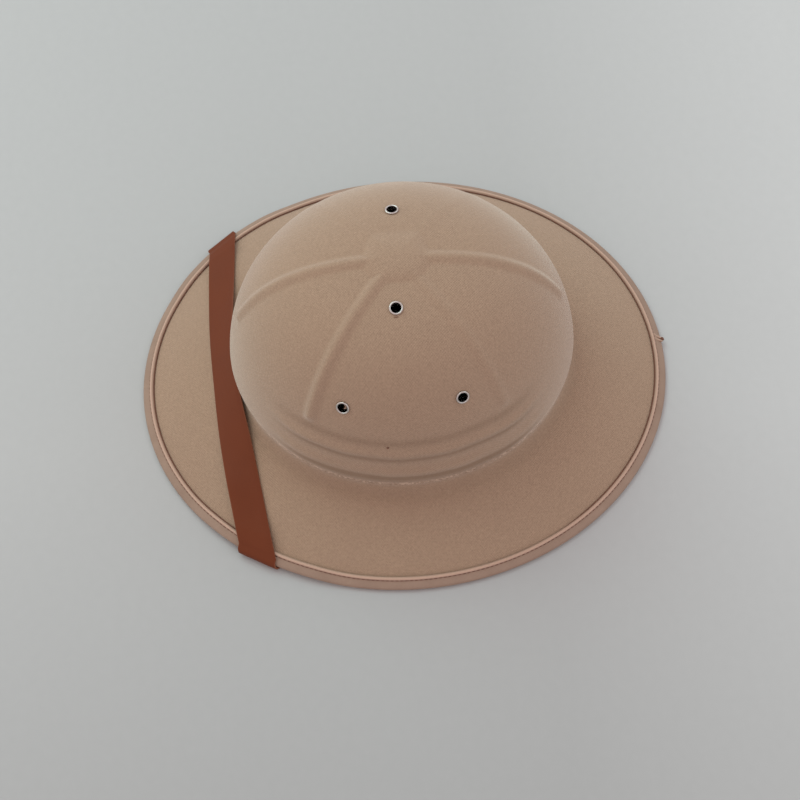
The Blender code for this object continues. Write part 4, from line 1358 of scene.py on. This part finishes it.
# %% Make the strap
def strap_ring(s):
    """A rounded section of the strap, at or above the ground, and how much each point is a cut edge."""
    half = STRAP_THICKNESS / 2
    toward = (s["inner"] - s["outer"]).normalized()
    points = []
    rims = []
    for centre, way in ((s["inner"] - toward * half, 1), (s["outer"] + toward * half, -1)):
        for k in range(7):
            turn = math.pi * k / 6
            p = centre + toward * way * half * math.sin(turn) + s["normal"] * way * half * math.cos(turn)
            points.append(Vector((p.x, p.y, max(p.z, 0.0))))
            rims.append(math.sin(turn) ** 2)
        run = (s["outer"] - s["inner"]) * way
        for k in (0.25, 0.5, 0.75):
            p = centre + run * k - s["normal"] * way * half
            points.append(Vector((p.x, p.y, max(p.z, 0.0))))
            rims.append(0.0)
    return points, rims


stations = list(reversed(strap_end(-1))) + strap_top() + strap_end(1)
strap_rings = [strap_ring(s) for s in stations]
strap_skin = skin([p for p, _ in strap_rings], capped=True)
strap = piece("strap_leathercloth", [strap_skin], leathercloth, "leathercloth", "chin_strap")
mark(strap, "rim", [r for _, rims in strap_rings for r in rims])
middles = [(s["inner"] + s["outer"]) / 2 for s in stations]
strap_length = sum((b - a).length for a, b in zip(middles, middles[1:]))
print("the strap is", round(strap_length * 1000), "mm long")

# %% [markdown]
# ## Floor, light and camera
#
# The hat lies on plain pale grey paper in soft cool light with a warm, bright surround, so shadows are
# faint. Three large area lamps stand for windows or softboxes: the strongest at the picture's upper left,
# one low at the left that brightens the crown's side, and a dim one at the right. Small lamps would leave
# hard shadow edges. Light is painted on the paper by its finish: a little darker nearest the camera and paler
# at both sides, since more lamps would add shadows. The camera looks down from the wearer's left.

# %% Floor
paper, tree, shader = new_finish("grey_studio_paper")
place = add(tree, "TexCoord")
tooth = add(tree, "TexNoise", {"Vector": place.outputs["Object"], "Scale": 160.0, "Detail": 4.0})
grey = add(tree, "Mix", {0: tooth, 6: linear("#bbc0bf"), 7: linear("#bfc4c3")}, data_type="RGBA")
places = add(tree, "SeparateXYZ", {0: place.outputs["Object"]})
# Painted light: the paper is paler towards both ends along Y and darker towards the camera along X.
rearward = add(tree, "MapRange", {0: places.outputs[1], 1: 0.08, 2: 0.28, 3: 1.0, 4: 1.2})
frontward = add(tree, "MapRange", {0: places.outputs[1], 1: -0.1, 2: -0.3, 3: 1.0, 4: 1.04})
nearer = add(tree, "MapRange", {0: places, 1: 0.04, 2: 0.32, 3: 1.0, 4: 0.83})
painted_light_sides = add(tree, "Math", {0: rearward, 1: frontward}, operation="MULTIPLY")
painted_light_falloff = add(tree, "Math", {0: painted_light_sides, 1: nearer}, operation="MULTIPLY")
paper_with_painted_light = add(tree, "VectorMath", {0: grey.outputs[2], 3: painted_light_falloff}, operation="SCALE")
feed(shader, {"Base Color": paper_with_painted_light, "Roughness": 0.9})
FLOOR_REACH = 3.0
floor_mesh = bpy.data.meshes.new("floor")
corners = [(x * FLOOR_REACH, y * FLOOR_REACH, 0) for x, y in ((-1, -1), (1, -1), (1, 1), (-1, 1))]
floor_mesh.from_pydata(corners, [], [(0, 1, 2, 3)])
floor_mesh.materials.append(paper)
floor = put("floor", floor_mesh)
print("paper floor", FLOOR_REACH * 2, "m square")


# %% Light
def softbox(name, spot, target, size, power, tint):
    """A square area lamp that faces a point."""
    lamp = bpy.data.lights.new(name, "AREA")
    lamp.size = size
    lamp.energy = power
    lamp.color = linear(tint)[:3]
    facing = (spot - target).to_track_quat("Z", "Y").to_matrix().to_4x4()
    put(name, lamp).matrix_world = Matrix.Translation(spot) @ facing


softbox("window", Vector((-1.1, -0.9, 1.7)), Vector((0, 0, 0.05)), 1.6, 15.2, "#d8fffa")
softbox("far_window", Vector((-0.4, 1.6, 1.4)), Vector((0, 0, 0.05)), 1.6, 4.5, "#b8f6ff")
softbox("low_window", Vector((-0.3, -1.9, 0.6)), Vector((0, 0, 0.08)), 1.2, 3.5, "#f2fff4")
print("three lamps of", [round(lamp.energy, 1) for lamp in bpy.data.lights], "W")
world = bpy.data.worlds.new("studio")
bpy.context.scene.world = world
world.use_nodes = True
surround = world.node_tree.nodes["Background"]
surround.inputs["Color"].default_value = linear("#ffebec")
surround.inputs["Strength"].default_value = 0.76
bpy.context.scene.view_settings.view_transform = "Standard"

# %% Camera
right = Vector((0.06479, 0.99742, -0.03090))
up = Vector((-0.90026, 0.07178, 0.42940))
back = Vector((0.43051, 0.0, 0.90259))
eye = Vector((0.42354, -0.00353, 0.85051))
lens = bpy.data.cameras.new("camera")
lens.lens = 67.4
lens.sensor_width = 36.0
camera = put("camera", lens)
camera.matrix_world = Matrix.Translation(eye) @ Matrix((right, up, back)).transposed().to_4x4()
bpy.context.scene.camera = camera
print("camera is", round(eye.length, 3), "m away, looking down", round(math.degrees(math.asin(back.z)), 1))
